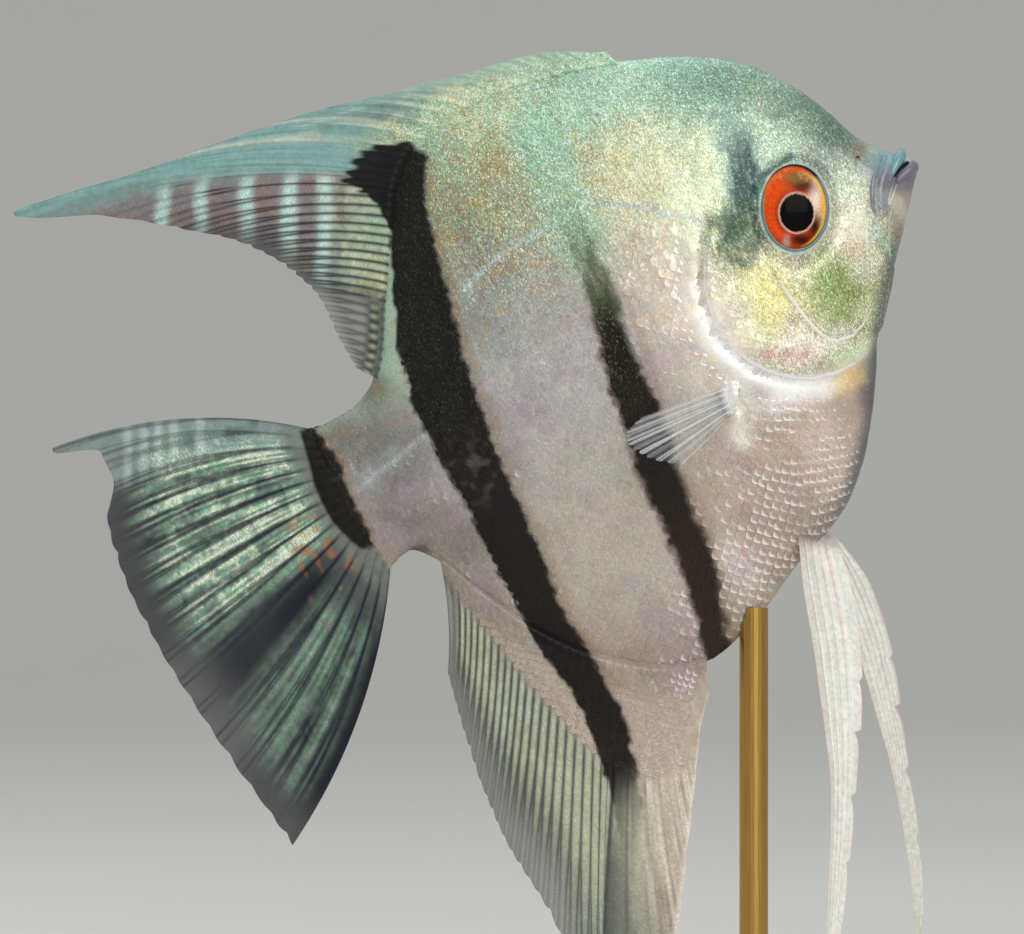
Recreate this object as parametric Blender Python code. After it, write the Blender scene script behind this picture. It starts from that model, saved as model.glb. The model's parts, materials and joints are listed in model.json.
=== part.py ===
"""Freshwater angelfish, life size, held nose-up on a display stand.

The fish is worked out in its own frame, in millimetres: "s" runs back from the
mouth, "h" rises from the line that joins the mouth to the middle of the tail
base, and "y" points to the fish's left. PITCH then turns that frame nose-up
and the fish is set over its stand. The head faces +X and +Z is up.
"""

import math

import bmesh
import bpy
import numpy as np
from mathutils import Vector

MM = 0.001
GAP = 0.3                     # clearance between neighbouring pieces
PITCH = math.radians(29.0)    # how far the nose points up
MOUTH_X, MOUTH_Z = 40.0, 160.0   # where the mouth stands over the base

# Outline of the flesh: (s, h) along the back and along the belly.
BACK = ((-0.4, 2.0), (1.2, 3.5), (3.2, 5.7), (4.9, 8.3), (6.1, 12.0), (8.5, 17.5),
        (12.3, 23.4), (18.3, 28.4), (27.0, 32.7), (36.0, 36.0), (45.0, 38.1),
        (52.5, 38.6), (59.0, 37.4), (64.0, 34.0), (68.0, 28.5), (73.0, 21.3),
        (78.5, 12.9), (81.5, 10.3), (85.5, 9.1), (89.0, 9.1), (94.5, 10.2))
BELLY = ((-0.4, -0.3), (2.7, -3.8), (7.1, -8.6), (11.8, -13.6), (15.2, -17.6),
         (20.7, -25.9), (26.0, -32.3), (32.0, -37.0), (41.0, -40.3), (49.1, -43.9),
         (57.5, -45.9), (63.5, -44.1), (69.2, -40.2), (74.2, -34.9), (78.6, -28.3),
         (82.2, -20.9), (84.9, -14.6), (87.5, -12.4), (90.5, -12.9), (94.5, -14.6))
# Half the greatest width of each section, and the height at which it lies.
HALF_WIDTH = ((-0.4, 1.2), (2.0, 2.3), (6.0, 3.7), (12.0, 5.3), (18.0, 6.4),
              (26.0, 7.4), (34.0, 7.7), (44.0, 7.3), (54.0, 6.3), (66.0, 4.7),
              (78.0, 3.1), (86.0, 2.3), (94.5, 1.8))
WIDEST = ((-0.4, 0.9), (10.0, 0.8), (20.0, 0.0), (40.0, -3.0), (70.0, -3.0),
          (94.5, -2.0))
SECTION_POWER, SECTION_ROUND = 1.7, 0.62   # lens-shaped sections, rounded ridges
STATIONS, RING = 44, 20

# Cuts between the parts of the body, as (s, h) lines.
GILL_MARGIN = ((26.5, 45.0), (26.2, 28.0), (26.6, 16.0), (28.4, 8.6), (31.8, 3.4),
               (34.2, -1.6), (34.9, -6.6), (33.6, -11.4), (30.6, -15.6), (26.0, -18.6),
               (20.8, -19.4), (16.6, -18.0), (12.6, -16.2), (7.0, -16.0))
PREOPERCLE = ((25.6, 6.6), (24.2, 2.0), (23.5, -3.0), (23.1, -8.5), (22.3, -13.0),
              (19.6, -15.9), (16.6, -15.9))
JAW = ((-3.0, 1.3), (2.0, 1.2), (4.6, -1.4), (7.4, -6.0), (9.8, -10.4), (10.6, -16.0))
STALK = ((69.4, 70.0), (95.7, -70.0))   # from the dorsal fin's end to the anal fin's
TAIL_BULGE = 1.6              # how far the middle of the tail base reaches back
TAIL_END_S, TAIL_TOP, TAIL_FOOT = 93.6, 12.0, -16.0   # the end cut of the tail base
COVER_DEPTH = 1.5             # thickness of a gill cover
COVER_EDGE = 1.2              # how far a gill cover stays in front of the gill margin
COVER_TOP, COVER_FRONT = 8.2, 17.6   # the gill cover lies below and behind these
FAR = 30.0                    # cutting blocks reach this far to each side
OFF_MIDDLE = 0.5              # the cutting blocks of one side stop this near the middle
INNER_STATIONS, INNER_RING = 26, 14   # a coarser body, used only as a cutter

# Eye: an ellipsoid, upright in the held pose.
EYE_S, EYE_H = 17.5, 3.3
EYE_HALF = (5.45, 7.0, 2.6)   # along the body, upright, across
EYE_BULGE = 1.1
EYE_TOE = math.radians(9.0)   # the eye looks slightly forward

# Median fins: how far along the base (0 to 1), then the (s, h) of the ray tip.
DORSAL_BASE, DORSAL_THICK = (28.0, 80.0), (2.2, 0.5)
DORSAL_TIPS = ((0.00, 29.6, 35.2), (0.10, 38.5, 39.8), (0.20, 47.5, 41.9),
               (0.30, 57.5, 44.4), (0.40, 69.0, 47.6), (0.48, 83.0, 50.3),
               (0.535, 99.0, 52.9), (0.556, 112.4, 55.7), (0.566, 112.6, 55.0),
               (0.59, 102.5, 49.6), (0.63, 94.0, 43.0), (0.70, 86.8, 36.6),
               (0.78, 82.8, 30.4), (0.87, 80.9, 23.8), (0.94, 81.3, 18.2),
               (1.00, 81.2, 13.6))
ANAL_BASE, ANAL_THICK = (57.6, 84.8), (2.2, 0.5)
ANAL_TIPS = ((0.00, 60.2, -49.8), (0.04, 62.9, -52.6), (0.09, 67.4, -58.9),
             (0.14, 72.6, -66.2), (0.19, 78.4, -74.3), (0.24, 88.0, -86.2),
             (0.285, 105.6, -102.6), (0.297, 106.4, -102.2), (0.34, 98.4, -88.4),
             (0.40, 95.4, -77.5), (0.50, 94.4, -65.0), (0.62, 94.9, -55.5),
             (0.75, 94.2, -46.7), (0.88, 92.4, -37.0), (1.00, 90.6, -29.6))
CAUDAL_BASE, CAUDAL_THICK = ((92.6, 9.4), (92.2, -13.2)), (3.2, 0.5)
CAUDAL_TIPS = ((0.000, 123.6, 24.4), (0.012, 123.8, 23.8), (0.05, 118.0, 20.6),
               (0.10, 118.4, 16.4), (0.18, 121.6, 12.2), (0.30, 123.2, 6.2),
               (0.42, 124.0, -0.4), (0.55, 124.1, -8.0), (0.68, 123.6, -17.0),
               (0.80, 122.8, -26.5), (0.90, 121.8, -34.5), (1.00, 121.2, -40.2))
ROOT_DEPTH = 1.6              # how far a fin's root reaches into its seat
FINEST_SHARE = (0.561, 0.291)   # where dorsal and anal rays crowd, at the long tips
MEDIAN_RAYS, DORSAL_STEPS, ANAL_STEPS, CAUDAL_STEPS = 26, 7, 8, 6
CAUDAL_BULGE = 0.6            # how far the middle of the caudal root reaches back
LEAST_THICK = 0.5             # no fin is thinner

# Paired fins. Pelvic: centre line (s, h, y) and width at each share of the length.
PELVIC_RIGHT = ((0.00, 37.2, -37.0, -1.9), (0.20, 41.5, -52.0, -3.0),
                (0.40, 48.2, -66.0, -4.6), (0.65, 59.0, -83.2, -7.0),
                (1.00, 76.6, -107.0, -10.0))
PELVIC_LEFT = ((0.00, 34.6, -36.4, 1.9), (0.20, 36.3, -52.0, 4.2),
               (0.40, 40.2, -67.0, 7.2), (0.65, 47.2, -87.0, 10.8),
               (1.00, 61.4, -111.6, 15.0))
PELVIC_WIDTH = ((0.00, 5.6), (0.10, 6.6), (0.25, 6.2), (0.38, 4.6), (0.44, 3.6),
                (0.60, 2.6), (0.75, 1.6), (1.00, 0.7))
PELVIC_THICK = (1.6, 0.55)
PELVIC_CUP, PELVIC_CUP_WIDTH = 1.6, 6.0   # how deeply a ribbon that wide is cupped
# Pectoral: (s, h, y) of the base ends, then of the fan's tips from top to bottom.
PECTORAL_BASE = ((37.4, -14.6, 6.9), (39.0, -20.6, 6.3))
PECTORAL_TIPS = ((0.00, 50.4, -11.6, 15.4), (0.25, 53.0, -12.4, 18.0),
                 (0.50, 53.6, -14.0, 19.6), (0.75, 52.2, -16.8, 20.4),
                 (1.00, 48.6, -20.0, 19.0))
PECTORAL_THICK = (1.5, 0.5)
PECTORAL_SEAT, PECTORAL_CURVE = 1.2, 1.4   # how deep it is seated, and how it bulges
PECTORAL_SHORT = 1.5          # its root keeps its full thickness this far out

# Stand.
BASE_SIZE, BASE_ROUND, BASE_BEVEL = (96.0, 58.0, 12.0), 12.0, 1.5
ROD_BACK, ROD_RADIUS, ROD_SOCKET = 22.4, 2.0, 8.0   # ROD_BACK: behind the mouth
ROD_INTO_BELLY = 2.2          # height of the seat cut in the rod's top
KEEL_SPAN = (30.0, 70.0)      # the stretch of the belly that lies over the rod
CUTTER_OVER = 5.0             # how far the socket's cutter stands over the board


def through(stations):
    """A smooth curve through the rows (t, value, ...): a function of t."""
    rows = np.array(stations, float)
    t, values = rows[:, 0], rows[:, 1:]
    step = np.diff(t)[:, None]
    chord = np.diff(values, axis=0) / step
    slope = np.zeros_like(values)
    same_way = chord[:-1] * chord[1:] > 0
    near, far = 2 * step[1:] + step[:-1], step[1:] + 2 * step[:-1]
    safe = np.where(same_way, chord[:-1], 1.0), np.where(same_way, chord[1:], 1.0)
    slope[1:-1] = np.where(same_way, (near + far) / (near / safe[0] + far / safe[1]), 0)
    slope[0], slope[-1] = chord[0], chord[-1]

    def at(x):
        x = np.asarray(x, float)
        i = np.clip(np.searchsorted(t, x) - 1, 0, len(t) - 2)
        k = ((x - t[i]) / (t[i + 1] - t[i]))[..., None]
        gap = step[i]
        value = (values[i] * (1 + 2 * k) * (1 - k) ** 2
                 + values[i + 1] * k * k * (3 - 2 * k)
                 + slope[i] * gap * k * (1 - k) ** 2
                 - slope[i + 1] * gap * k * k * (1 - k))
        return value[..., 0] if values.shape[1] == 1 else value

    return at


back, belly, half_width, widest = map(through, (BACK, BELLY, HALF_WIDTH, WIDEST))


def width_at(s, h, grow=0.0):
    """Half the body's width at a point of its side view."""
    middle = widest(s)
    reach = np.where(h > middle, back(s) + grow - middle, middle - belly(s) + grow)
    share = np.clip(np.abs(h - middle) / reach, 0, 1)
    return (half_width(s) + grow) * (1 - share ** SECTION_POWER) ** SECTION_ROUND


def local(points):
    """Fish-frame points (s, h, y) in millimetres to the fish empty's own metres."""
    p = np.asarray(points, float)
    return np.stack([-p[..., 0], p[..., 2], p[..., 1]], -1) * MM


def object_of(name, work, parent=None):
    """Turns a bmesh into a closed object whose faces point out."""
    bmesh.ops.recalc_face_normals(work, faces=work.faces)
    bmesh.ops.triangulate(work, faces=work.faces)
    mesh = bpy.data.meshes.new(name)
    work.to_mesh(mesh)
    work.free()
    obj = bpy.data.objects.new(name, mesh)
    obj.parent = parent
    bpy.context.scene.collection.objects.link(obj)
    return obj


def fish_object(name, points, faces):
    """An object of the fish from points in the fish empty's frame."""
    work = bmesh.new()
    corners = [work.verts.new(tuple(map(float, p))) for p in points]
    for face in faces:
        work.faces.new([corners[k] for k in face])
    return object_of(name, work, fish)


def carve(obj, cutter, operation="DIFFERENCE"):
    """Applies one exact Boolean, then drops its cutter."""
    cutter.hide_render, cutter.display_type = True, "WIRE"
    cut = obj.modifiers.new("cut", "BOOLEAN")
    cut.operation, cut.object, cut.solver = operation, cutter, "EXACT"
    graph = bpy.context.evaluated_depsgraph_get()
    mesh = bpy.data.meshes.new_from_object(obj.evaluated_get(graph))
    obj.modifiers.clear()
    obj.data = mesh
    bpy.data.objects.remove(cutter)
    return obj


def lofted(name, rings):
    """A closed skin over a stack of rings that all have the same point count."""
    count, per_ring = rings.shape[:2]
    faces = [(i * per_ring + j, i * per_ring + (j + 1) % per_ring,
              (i + 1) * per_ring + (j + 1) % per_ring, (i + 1) * per_ring + j)
             for i in range(count - 1) for j in range(per_ring)]
    first, last = range(per_ring), range((count - 1) * per_ring, count * per_ring)
    return fish_object(name, rings.reshape(-1, 3), faces + [tuple(first), tuple(last)])


def body(name, grow=0.0, stations=STATIONS, ring=RING):
    """The whole flesh, from lips to tail base, thicker all round by "grow"."""
    share = np.linspace(0, 1, stations)
    s = BACK[0][0] + (BACK[-1][0] - BACK[0][0]) * share ** 1.15
    around = np.linspace(0, 2 * math.pi, ring, endpoint=False)
    up = np.cos(around)[None, :]
    s = np.repeat(s[:, None], ring, 1)
    middle = widest(s)
    h = np.where(up > 0, middle + up * (back(s) + grow - middle),
                 middle + up * (middle - belly(s) + grow))
    side = np.sign(np.round(np.sin(around), 6))[None, :]
    y = side * width_at(s, h, grow)
    s = s.copy()
    s[0] -= grow
    s[-1] += grow
    return lofted(name, local(np.stack([s, h, y], -1)))


def prism(name, outline, low_y=-FAR, high_y=FAR):
    """A block with the given (s, h) outline that spans the fish from side to side."""
    ring = np.array(outline, float)
    low = np.column_stack([ring, np.full(len(ring), low_y)])
    high = np.column_stack([ring, np.full(len(ring), high_y)])
    return lofted(name, local(np.stack([low, high])))


def smooth_line(points, count=30):
    """A line through the points at even shares of their length."""
    p = np.array(points, float)
    length = np.concatenate([[0], np.cumsum(np.hypot(*np.diff(p, axis=0).T))])
    return through(np.column_stack([length, p]))(np.linspace(0, length[-1], count))


def shifted(line, distance):
    """The line moved sideways, to its left when the distance is positive."""
    along = np.gradient(line, axis=0)
    along /= np.linalg.norm(along, axis=1, keepdims=True)
    return line + distance * np.column_stack([-along[:, 1], along[:, 0]])


def grown(outline, distance):
    """A closed outline, given anticlockwise, moved outwards with sharp corners."""
    p = np.array(outline, float)
    to_next = np.roll(p, -1, axis=0) - p
    to_next /= np.linalg.norm(to_next, axis=1, keepdims=True)
    out = np.column_stack([to_next[:, 1], -to_next[:, 0]])
    corner = out + np.roll(out, 1, axis=0)
    corner *= 2 / np.sum(corner ** 2, axis=1, keepdims=True)
    return p + distance * corner


def sheet(name, surface, thickness):
    """A closed fin: a grid of points (s, h, y), thickened to both sides of itself."""
    rows, columns = surface.shape[:2]
    along = np.gradient(surface, axis=0)
    across = np.gradient(surface, axis=1)
    normal = np.cross(along, across)
    normal /= np.linalg.norm(normal, axis=2, keepdims=True)
    offset = normal * thickness[..., None] / 2
    near, far = surface + offset, surface - offset
    points = np.concatenate([near.reshape(-1, 3), far.reshape(-1, 3)])
    at = np.arange(rows * columns).reshape(rows, columns)
    back_side = at + rows * columns
    faces = []
    for i in range(rows - 1):
        for j in range(columns - 1):
            quad = at[i, j], at[i + 1, j], at[i + 1, j + 1], at[i, j + 1]
            faces += [quad, tuple(back_side.flat[k] for k in reversed(quad))]
    rim = np.concatenate([at[0, :-1], at[:-1, -1], at[-1, :0:-1], at[:0:-1, 0]])
    other = rim + rows * columns
    faces += [(rim[k], rim[k - 1], other[k - 1], other[k]) for k in range(len(rim))]
    return fish_object(name, local(points), [tuple(map(int, f)) for f in faces])


def crowded(middle, count):
    """Shares from 0 to 1, closer together towards "middle", which is one of them."""
    before = max(3, round(count * middle))
    first = middle * (1 - (1 - np.linspace(0, 1, before + 1)) ** 1.5)
    second = middle + (1 - middle) * np.linspace(0, 1, count - before + 1) ** 1.5
    return np.concatenate([first, second[1:]])


def median_fin(name, root, tips, thick, bend, sway, shares, steps):
    """A fin whose rays run from "root" points to the curve of their tips."""
    tip = through(tips)(shares)
    v = np.linspace(0, 1, steps + 1)[None, :, None]
    ray = tip - root
    sideways = np.stack([-ray[:, 1], ray[:, 0]], -1)[:, None]
    flat = root[:, None] + v * ray[:, None] + sideways * (bend(shares)[:, None, None]
                                                          * 4 * v * (1 - v))
    length = np.linalg.norm(ray, axis=1)[:, None] * v[..., 0]
    y = sway * (length / 40.0) ** 2
    surface = np.dstack([flat, y])
    shrink = np.exp(-np.maximum(length - ROOT_DEPTH, 0) / 6.0)
    thickness = thick[1] + (thick[0] - thick[1]) * shrink
    return sheet(name, surface, thickness)


def ridge_root(edge, span, shares, inward):
    """Points along the body's edge, moved into the flesh by ROOT_DEPTH."""
    s = np.linspace(*span, 200)
    line = np.column_stack([s, edge(s)])
    length = np.concatenate([[0], np.cumsum(np.hypot(*np.diff(line, axis=0).T))])
    line = shifted(line, inward * ROOT_DEPTH)
    wanted = shares * length[-1]
    return np.column_stack([np.interp(wanted, length, line[:, k]) for k in (0, 1)])


for old in list(bpy.data.objects):
    bpy.data.objects.remove(old)

# The fish hangs from one empty at its mouth, turned nose-up.
fish = bpy.data.objects.new("fish_frame", None)
fish.location = MOUTH_X * MM, 0.0, MOUTH_Z * MM
fish.rotation_euler = 0.0, -PITCH, 0.0
bpy.context.scene.collection.objects.link(fish)
bpy.context.view_layer.update()

# ---- Flesh: one body, shared out between its parts by thin cuts ----
margin = smooth_line(GILL_MARGIN, 40)
front_block = [tuple(p) for p in margin] + [(-20.0, -16.0), (-20.0, 45.0)]
rear_line = shifted(margin, GAP)
rear_block = [tuple(p) for p in rear_line] + [(7.0, -70.0), *STALK[::-1], (30.0, 70.0)]

head = carve(body("head"), prism("front", front_block), "INTERSECT")
trunk = carve(body("trunk"), prism("rear", rear_block), "INTERSECT")

tail_end = [(TAIL_END_S - TAIL_BULGE * (2 * k - 1) ** 2,
             TAIL_TOP + (TAIL_FOOT - TAIL_TOP) * k) for k in np.linspace(0, 1, 9)]
stalk_block = [*shifted(np.array(STALK), GAP), (100.0, -50.0), *tail_end[::-1], (90.0, 30.0)]
tail_stalk = carve(body("tail_stalk"), prism("stalk", stalk_block), "INTERSECT")

jaw_line = smooth_line(JAW, 16)
jaw_block = [tuple(p) for p in shifted(jaw_line, -GAP)] + [(-20.0, -20.0), (-20.0, 1.0)]
lower_jaw = carve(body("lower_jaw"), prism("jaw", jaw_block), "INTERSECT")
head_room = [tuple(p) for p in jaw_line] + [(-20.0, -20.0), (-20.0, 1.3)]
carve(head, prism("jaw_room", head_room))

# A gill cover lies between the preopercle's edge and the gill margin.
cheek_edge = smooth_line(PREOPERCLE, 16)
cover_rear = [p for p in shifted(margin, -COVER_EDGE)
              if p[1] < COVER_TOP and p[0] > COVER_FRONT]
cover_line = (cover_rear + list(cheek_edge[::-1]))[::-1]
room_line = grown(cover_line, GAP)
covers = []
for name, low_y, high_y in (("gill_cover_left", OFF_MIDDLE, FAR),
                            ("gill_cover_right", -FAR, -OFF_MIDDLE)):
    cover = carve(body(name), prism("plate", cover_line, low_y, high_y), "INTERSECT")
    inside = body("inside", -COVER_DEPTH, INNER_STATIONS, INNER_RING)
    covers.append(carve(cover, inside))
    inner = body("inner", -COVER_DEPTH - GAP, INNER_STATIONS, INNER_RING)
    room = carve(prism("room", room_line, low_y, high_y), inner)
    carve(head, room)

# ---- Eyes, each in its socket ----
def eyeball(name, side, grow=0.0):
    work = bmesh.new()
    bmesh.ops.create_uvsphere(work, u_segments=14, v_segments=9, radius=1.0)
    along, upright, across = ((half + grow) * MM for half in EYE_HALF)
    bmesh.ops.scale(work, vec=(along, across, upright), verts=work.verts)
    ball = object_of(name, work)
    depth = float(width_at(EYE_S, EYE_H)) + EYE_BULGE - EYE_HALF[2]
    centre = Vector((-EYE_S, side * depth, EYE_H)) * MM
    ball.location = fish.matrix_world @ centre
    ball.rotation_euler = 0.0, 0.0, -side * EYE_TOE
    return ball


eyes = []
for name, side in (("eye_left", 1), ("eye_right", -1)):
    carve(head, eyeball("socket", side, GAP))
    eyes.append(eyeball(name, side))

# ---- Median fins, seated on the edge of the flesh ----
shares = crowded(FINEST_SHARE[0], MEDIAN_RAYS)
dorsal_fin = median_fin(
    "dorsal_fin", ridge_root(back, DORSAL_BASE, shares, -1), DORSAL_TIPS, DORSAL_THICK,
    lambda u: 0.07 * np.sin(math.pi * u), 1.0, shares, DORSAL_STEPS)
shares = crowded(FINEST_SHARE[1], MEDIAN_RAYS)
anal_fin = median_fin(
    "anal_fin", ridge_root(belly, ANAL_BASE, shares, 1), ANAL_TIPS, ANAL_THICK,
    lambda u: 0.04 - 0.08 * u, -0.8, shares, ANAL_STEPS)
shares = np.concatenate([[0, 0.012, 0.03], np.linspace(0.05, 1, 17)])
top, bottom = np.array(CAUDAL_BASE[0]), np.array(CAUDAL_BASE[1])
root = top + (bottom - top) * shares[:, None]
root[:, 0] += 4 * CAUDAL_BULGE * shares * (1 - shares) - ROOT_DEPTH
caudal_fin = median_fin(
    "caudal_fin", root, CAUDAL_TIPS, CAUDAL_THICK,
    lambda u: 0.075 - 0.14 * u, 2.0, shares, CAUDAL_STEPS)

# ---- Paired fins ----
def pelvic_fin(name, centre_line, leans):
    v = np.linspace(0, 1, 21)
    centre = through(centre_line)(v)
    width = through(PELVIC_WIDTH)(v)
    along = np.gradient(centre, axis=0)
    broad = np.cross(along, [0.0, 0.0, 1.0])
    broad /= np.linalg.norm(broad, axis=1, keepdims=True)
    u = np.linspace(-0.5, 0.5, 5)[:, None, None]
    cup = np.array([0, 0, leans * PELVIC_CUP]) * (width / PELVIC_CUP_WIDTH)[None, :, None]
    cupped = (u ** 2 - 0.25) * cup
    surface = centre[None] + u * width[None, :, None] * broad[None] + cupped
    taper = PELVIC_THICK[1] + (PELVIC_THICK[0] - PELVIC_THICK[1]) * (1 - v) ** 3
    edge = 1 - 0.45 * (2 * np.abs(u[..., 0])) ** 3
    thickness = np.maximum(taper[None] * edge, LEAST_THICK)
    return sheet(name, surface, thickness)


pelvic_fins = [pelvic_fin("pelvic_fin_right", PELVIC_RIGHT, 1),
               pelvic_fin("pelvic_fin_left", PELVIC_LEFT, -1)]


def pectoral_fin(name, side):
    u = np.linspace(0, 1, 11)
    first, last = (np.array(end) for end in PECTORAL_BASE)
    root = first + (last - first) * u[:, None]
    root[:, 2] = width_at(root[:, 0], root[:, 1]) - PECTORAL_SEAT
    tip = through(PECTORAL_TIPS)(u)
    v = np.linspace(0, 1, 8)[None, :, None]
    surface = root[:, None] + v * (tip - root)[:, None]
    surface[..., 2] += PECTORAL_CURVE * 4 * (v * (1 - v))[..., 0]
    surface[..., 2] *= side
    length = np.linalg.norm(tip - root, axis=1)[:, None] * v[..., 0]
    shrink = np.exp(-np.maximum(length - PECTORAL_SHORT, 0) / 3.0)
    thickness = PECTORAL_THICK[1] + (PECTORAL_THICK[0] - PECTORAL_THICK[1]) * shrink
    return sheet(name, surface, thickness)


pectoral_fins = [pectoral_fin("pectoral_fin_left", 1), pectoral_fin("pectoral_fin_right", -1)]

for fin in (dorsal_fin, anal_fin, *pelvic_fins, *pectoral_fins):
    carve(fin, body("seat", GAP))

# The caudal root stops at the stalk's curved end.
tail_cap = [(80.0, 30.0)] + [(s + GAP, h) for s, h in tail_end] + [(80.0, -30.0)]
carve(caudal_fin, prism("tail_cap", tail_cap))

# ---- Stand: a round-cornered board and one upright rod ----
work = bmesh.new()
bmesh.ops.create_cube(work, size=1.0)
bmesh.ops.scale(work, vec=[side * MM for side in BASE_SIZE], verts=work.verts)
bmesh.ops.translate(work, vec=(0, 0, BASE_SIZE[2] / 2 * MM), verts=work.verts)
uprights = [e for e in work.edges if abs(e.verts[0].co.z - e.verts[1].co.z) > MM]
bmesh.ops.bevel(work, geom=uprights, offset=BASE_ROUND * MM, segments=7, affect="EDGES",
                profile=0.5)
top_rim = [e for e in work.edges
           if min(v.co.z for v in e.verts) > (BASE_SIZE[2] - 0.01) * MM]
bmesh.ops.bevel(work, geom=top_rim, offset=BASE_BEVEL * MM, segments=3, affect="EDGES",
                profile=0.5)
stand_base = object_of("stand_base", work)


def rod(name, radius, low, high):
    work = bmesh.new()
    bmesh.ops.create_cone(work, cap_ends=True, segments=24, radius1=radius * MM,
                          radius2=radius * MM, depth=(high - low) * MM)
    upright = object_of(name, work)
    upright.location = (MOUTH_X - ROD_BACK) * MM, 0.0, (low + high) / 2 * MM
    return upright


socket_floor = BASE_SIZE[2] - ROD_SOCKET
carve(stand_base, rod("socket", ROD_RADIUS + GAP, socket_floor,
                      BASE_SIZE[2] + CUTTER_OVER))
keel_s = np.linspace(*KEEL_SPAN, 400)
keel_x = MOUTH_X - keel_s * math.cos(PITCH) - belly(keel_s) * math.sin(PITCH)
keel_z = MOUTH_Z - keel_s * math.sin(PITCH) + belly(keel_s) * math.cos(PITCH)
keel_over_rod = float(keel_z[np.argmin(np.abs(keel_x - (MOUTH_X - ROD_BACK)))])
stand_rod = rod("stand_rod", ROD_RADIUS, socket_floor + GAP, keel_over_rod + ROD_INTO_BELLY)
carve(stand_rod, body("seat", GAP))

# ---- Materials, and smooth shading of the round surfaces ----
for pieces, colour, rough, metal in (
        ((head, trunk, tail_stalk), (0.45, 0.42, 0.38), 0.35, 0.1),
        ((lower_jaw,), (0.16, 0.19, 0.22), 0.35, 0.1),
        (covers, (0.72, 0.64, 0.38), 0.30, 0.2),
        (eyes, (0.80, 0.16, 0.02), 0.12, 0.0),
        ((dorsal_fin, caudal_fin, anal_fin), (0.30, 0.38, 0.36), 0.40, 0.1),
        ([*pelvic_fins, *pectoral_fins], (0.76, 0.82, 0.80), 0.40, 0.0),
        ((stand_base,), (0.09, 0.04, 0.02), 0.35, 0.0),
        ((stand_rod,), (0.62, 0.42, 0.16), 0.25, 1.0)):
    for obj in pieces:
        material = bpy.data.materials.new(obj.name + "_finish")
        material.use_nodes = True
        shader = material.node_tree.nodes["Principled BSDF"]
        shader.inputs["Base Color"].default_value = (*colour, 1.0)
        shader.inputs["Roughness"].default_value = rough
        shader.inputs["Metallic"].default_value = metal
        obj.data.materials.clear()
        obj.data.materials.append(material)
        obj.data.shade_smooth()
        obj.data.set_sharp_from_angle(angle=math.radians(35))
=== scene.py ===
"""Freshwater angelfish, life size: the looks of the model on its display stand.

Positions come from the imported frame. The fish itself is worked out in its own
frame, in millimetres: "s" runs back from the mouth, "h" rises from the line that
joins the mouth to the middle of the tail base, and "y" points to the fish's left.
"""

import json
import math

import bpy
import numpy as np
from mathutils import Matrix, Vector
from mathutils.bvhtree import BVHTree

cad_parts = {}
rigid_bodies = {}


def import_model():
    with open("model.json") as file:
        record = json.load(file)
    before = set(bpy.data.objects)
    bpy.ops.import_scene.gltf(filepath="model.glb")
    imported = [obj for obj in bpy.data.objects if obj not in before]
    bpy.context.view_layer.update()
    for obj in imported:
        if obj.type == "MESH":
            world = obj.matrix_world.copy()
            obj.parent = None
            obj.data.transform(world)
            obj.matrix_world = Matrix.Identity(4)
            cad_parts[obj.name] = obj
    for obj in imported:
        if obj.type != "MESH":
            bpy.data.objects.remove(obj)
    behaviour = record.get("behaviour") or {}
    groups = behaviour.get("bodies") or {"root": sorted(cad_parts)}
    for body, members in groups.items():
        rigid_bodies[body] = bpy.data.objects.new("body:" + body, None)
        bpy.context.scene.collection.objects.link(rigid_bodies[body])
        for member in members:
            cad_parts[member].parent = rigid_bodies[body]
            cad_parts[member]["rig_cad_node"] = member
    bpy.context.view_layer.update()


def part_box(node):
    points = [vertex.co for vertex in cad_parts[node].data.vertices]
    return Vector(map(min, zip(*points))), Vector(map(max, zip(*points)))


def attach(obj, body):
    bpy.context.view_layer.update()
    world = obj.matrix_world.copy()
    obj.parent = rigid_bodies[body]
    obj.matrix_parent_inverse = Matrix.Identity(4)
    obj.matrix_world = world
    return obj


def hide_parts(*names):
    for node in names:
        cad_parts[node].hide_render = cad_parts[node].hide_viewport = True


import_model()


# ---- Room ----
# A photographer's sweep: one floor of pale matt card that turns up into a wall
# all round, far from the model, so that no edge shows. Large soft lamps hang
# over it, the strongest in front of the fish's right side, towards its head.
MM = 0.001
FLOOR_REACH, CARD_CURVE, WALL_TOP = 2.4, 0.9, 2.6    # metres
CARD = "#dedcd7"


def linear(code, alpha=1.0):
    """An sRGB hex colour as the linear values that a shader takes."""
    parts = [int(code[k:k + 2], 16) / 255 for k in (1, 3, 5)]
    return (*(p / 12.92 if p <= 0.04045 else ((p + 0.055) / 1.055) ** 2.4
              for p in parts), alpha)


def add(tree, kind, inputs=(), stops=(), **settings):
    """One node of that kind: each input is set, or linked where it is a socket."""
    node = tree.nodes.new("ShaderNode" + kind)
    for name, value in settings.items():
        setattr(node, name, value)
    for k, (place, code) in enumerate(stops):
        stop = (node.color_ramp.elements[k] if k < 2
                else node.color_ramp.elements.new(place))
        stop.position, stop.color = place, linear(code)
    for socket, value in dict(inputs).items():
        if isinstance(value, bpy.types.NodeSocket):
            tree.links.new(value, node.inputs[socket])
        else:
            node.inputs[socket].default_value = value
    return node


def finish_of(name):
    """A new material: its node tree and its Principled shader."""
    material = bpy.data.materials.new(name)
    material.use_nodes = True
    return material, material.node_tree, material.node_tree.nodes["Principled BSDF"]


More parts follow.
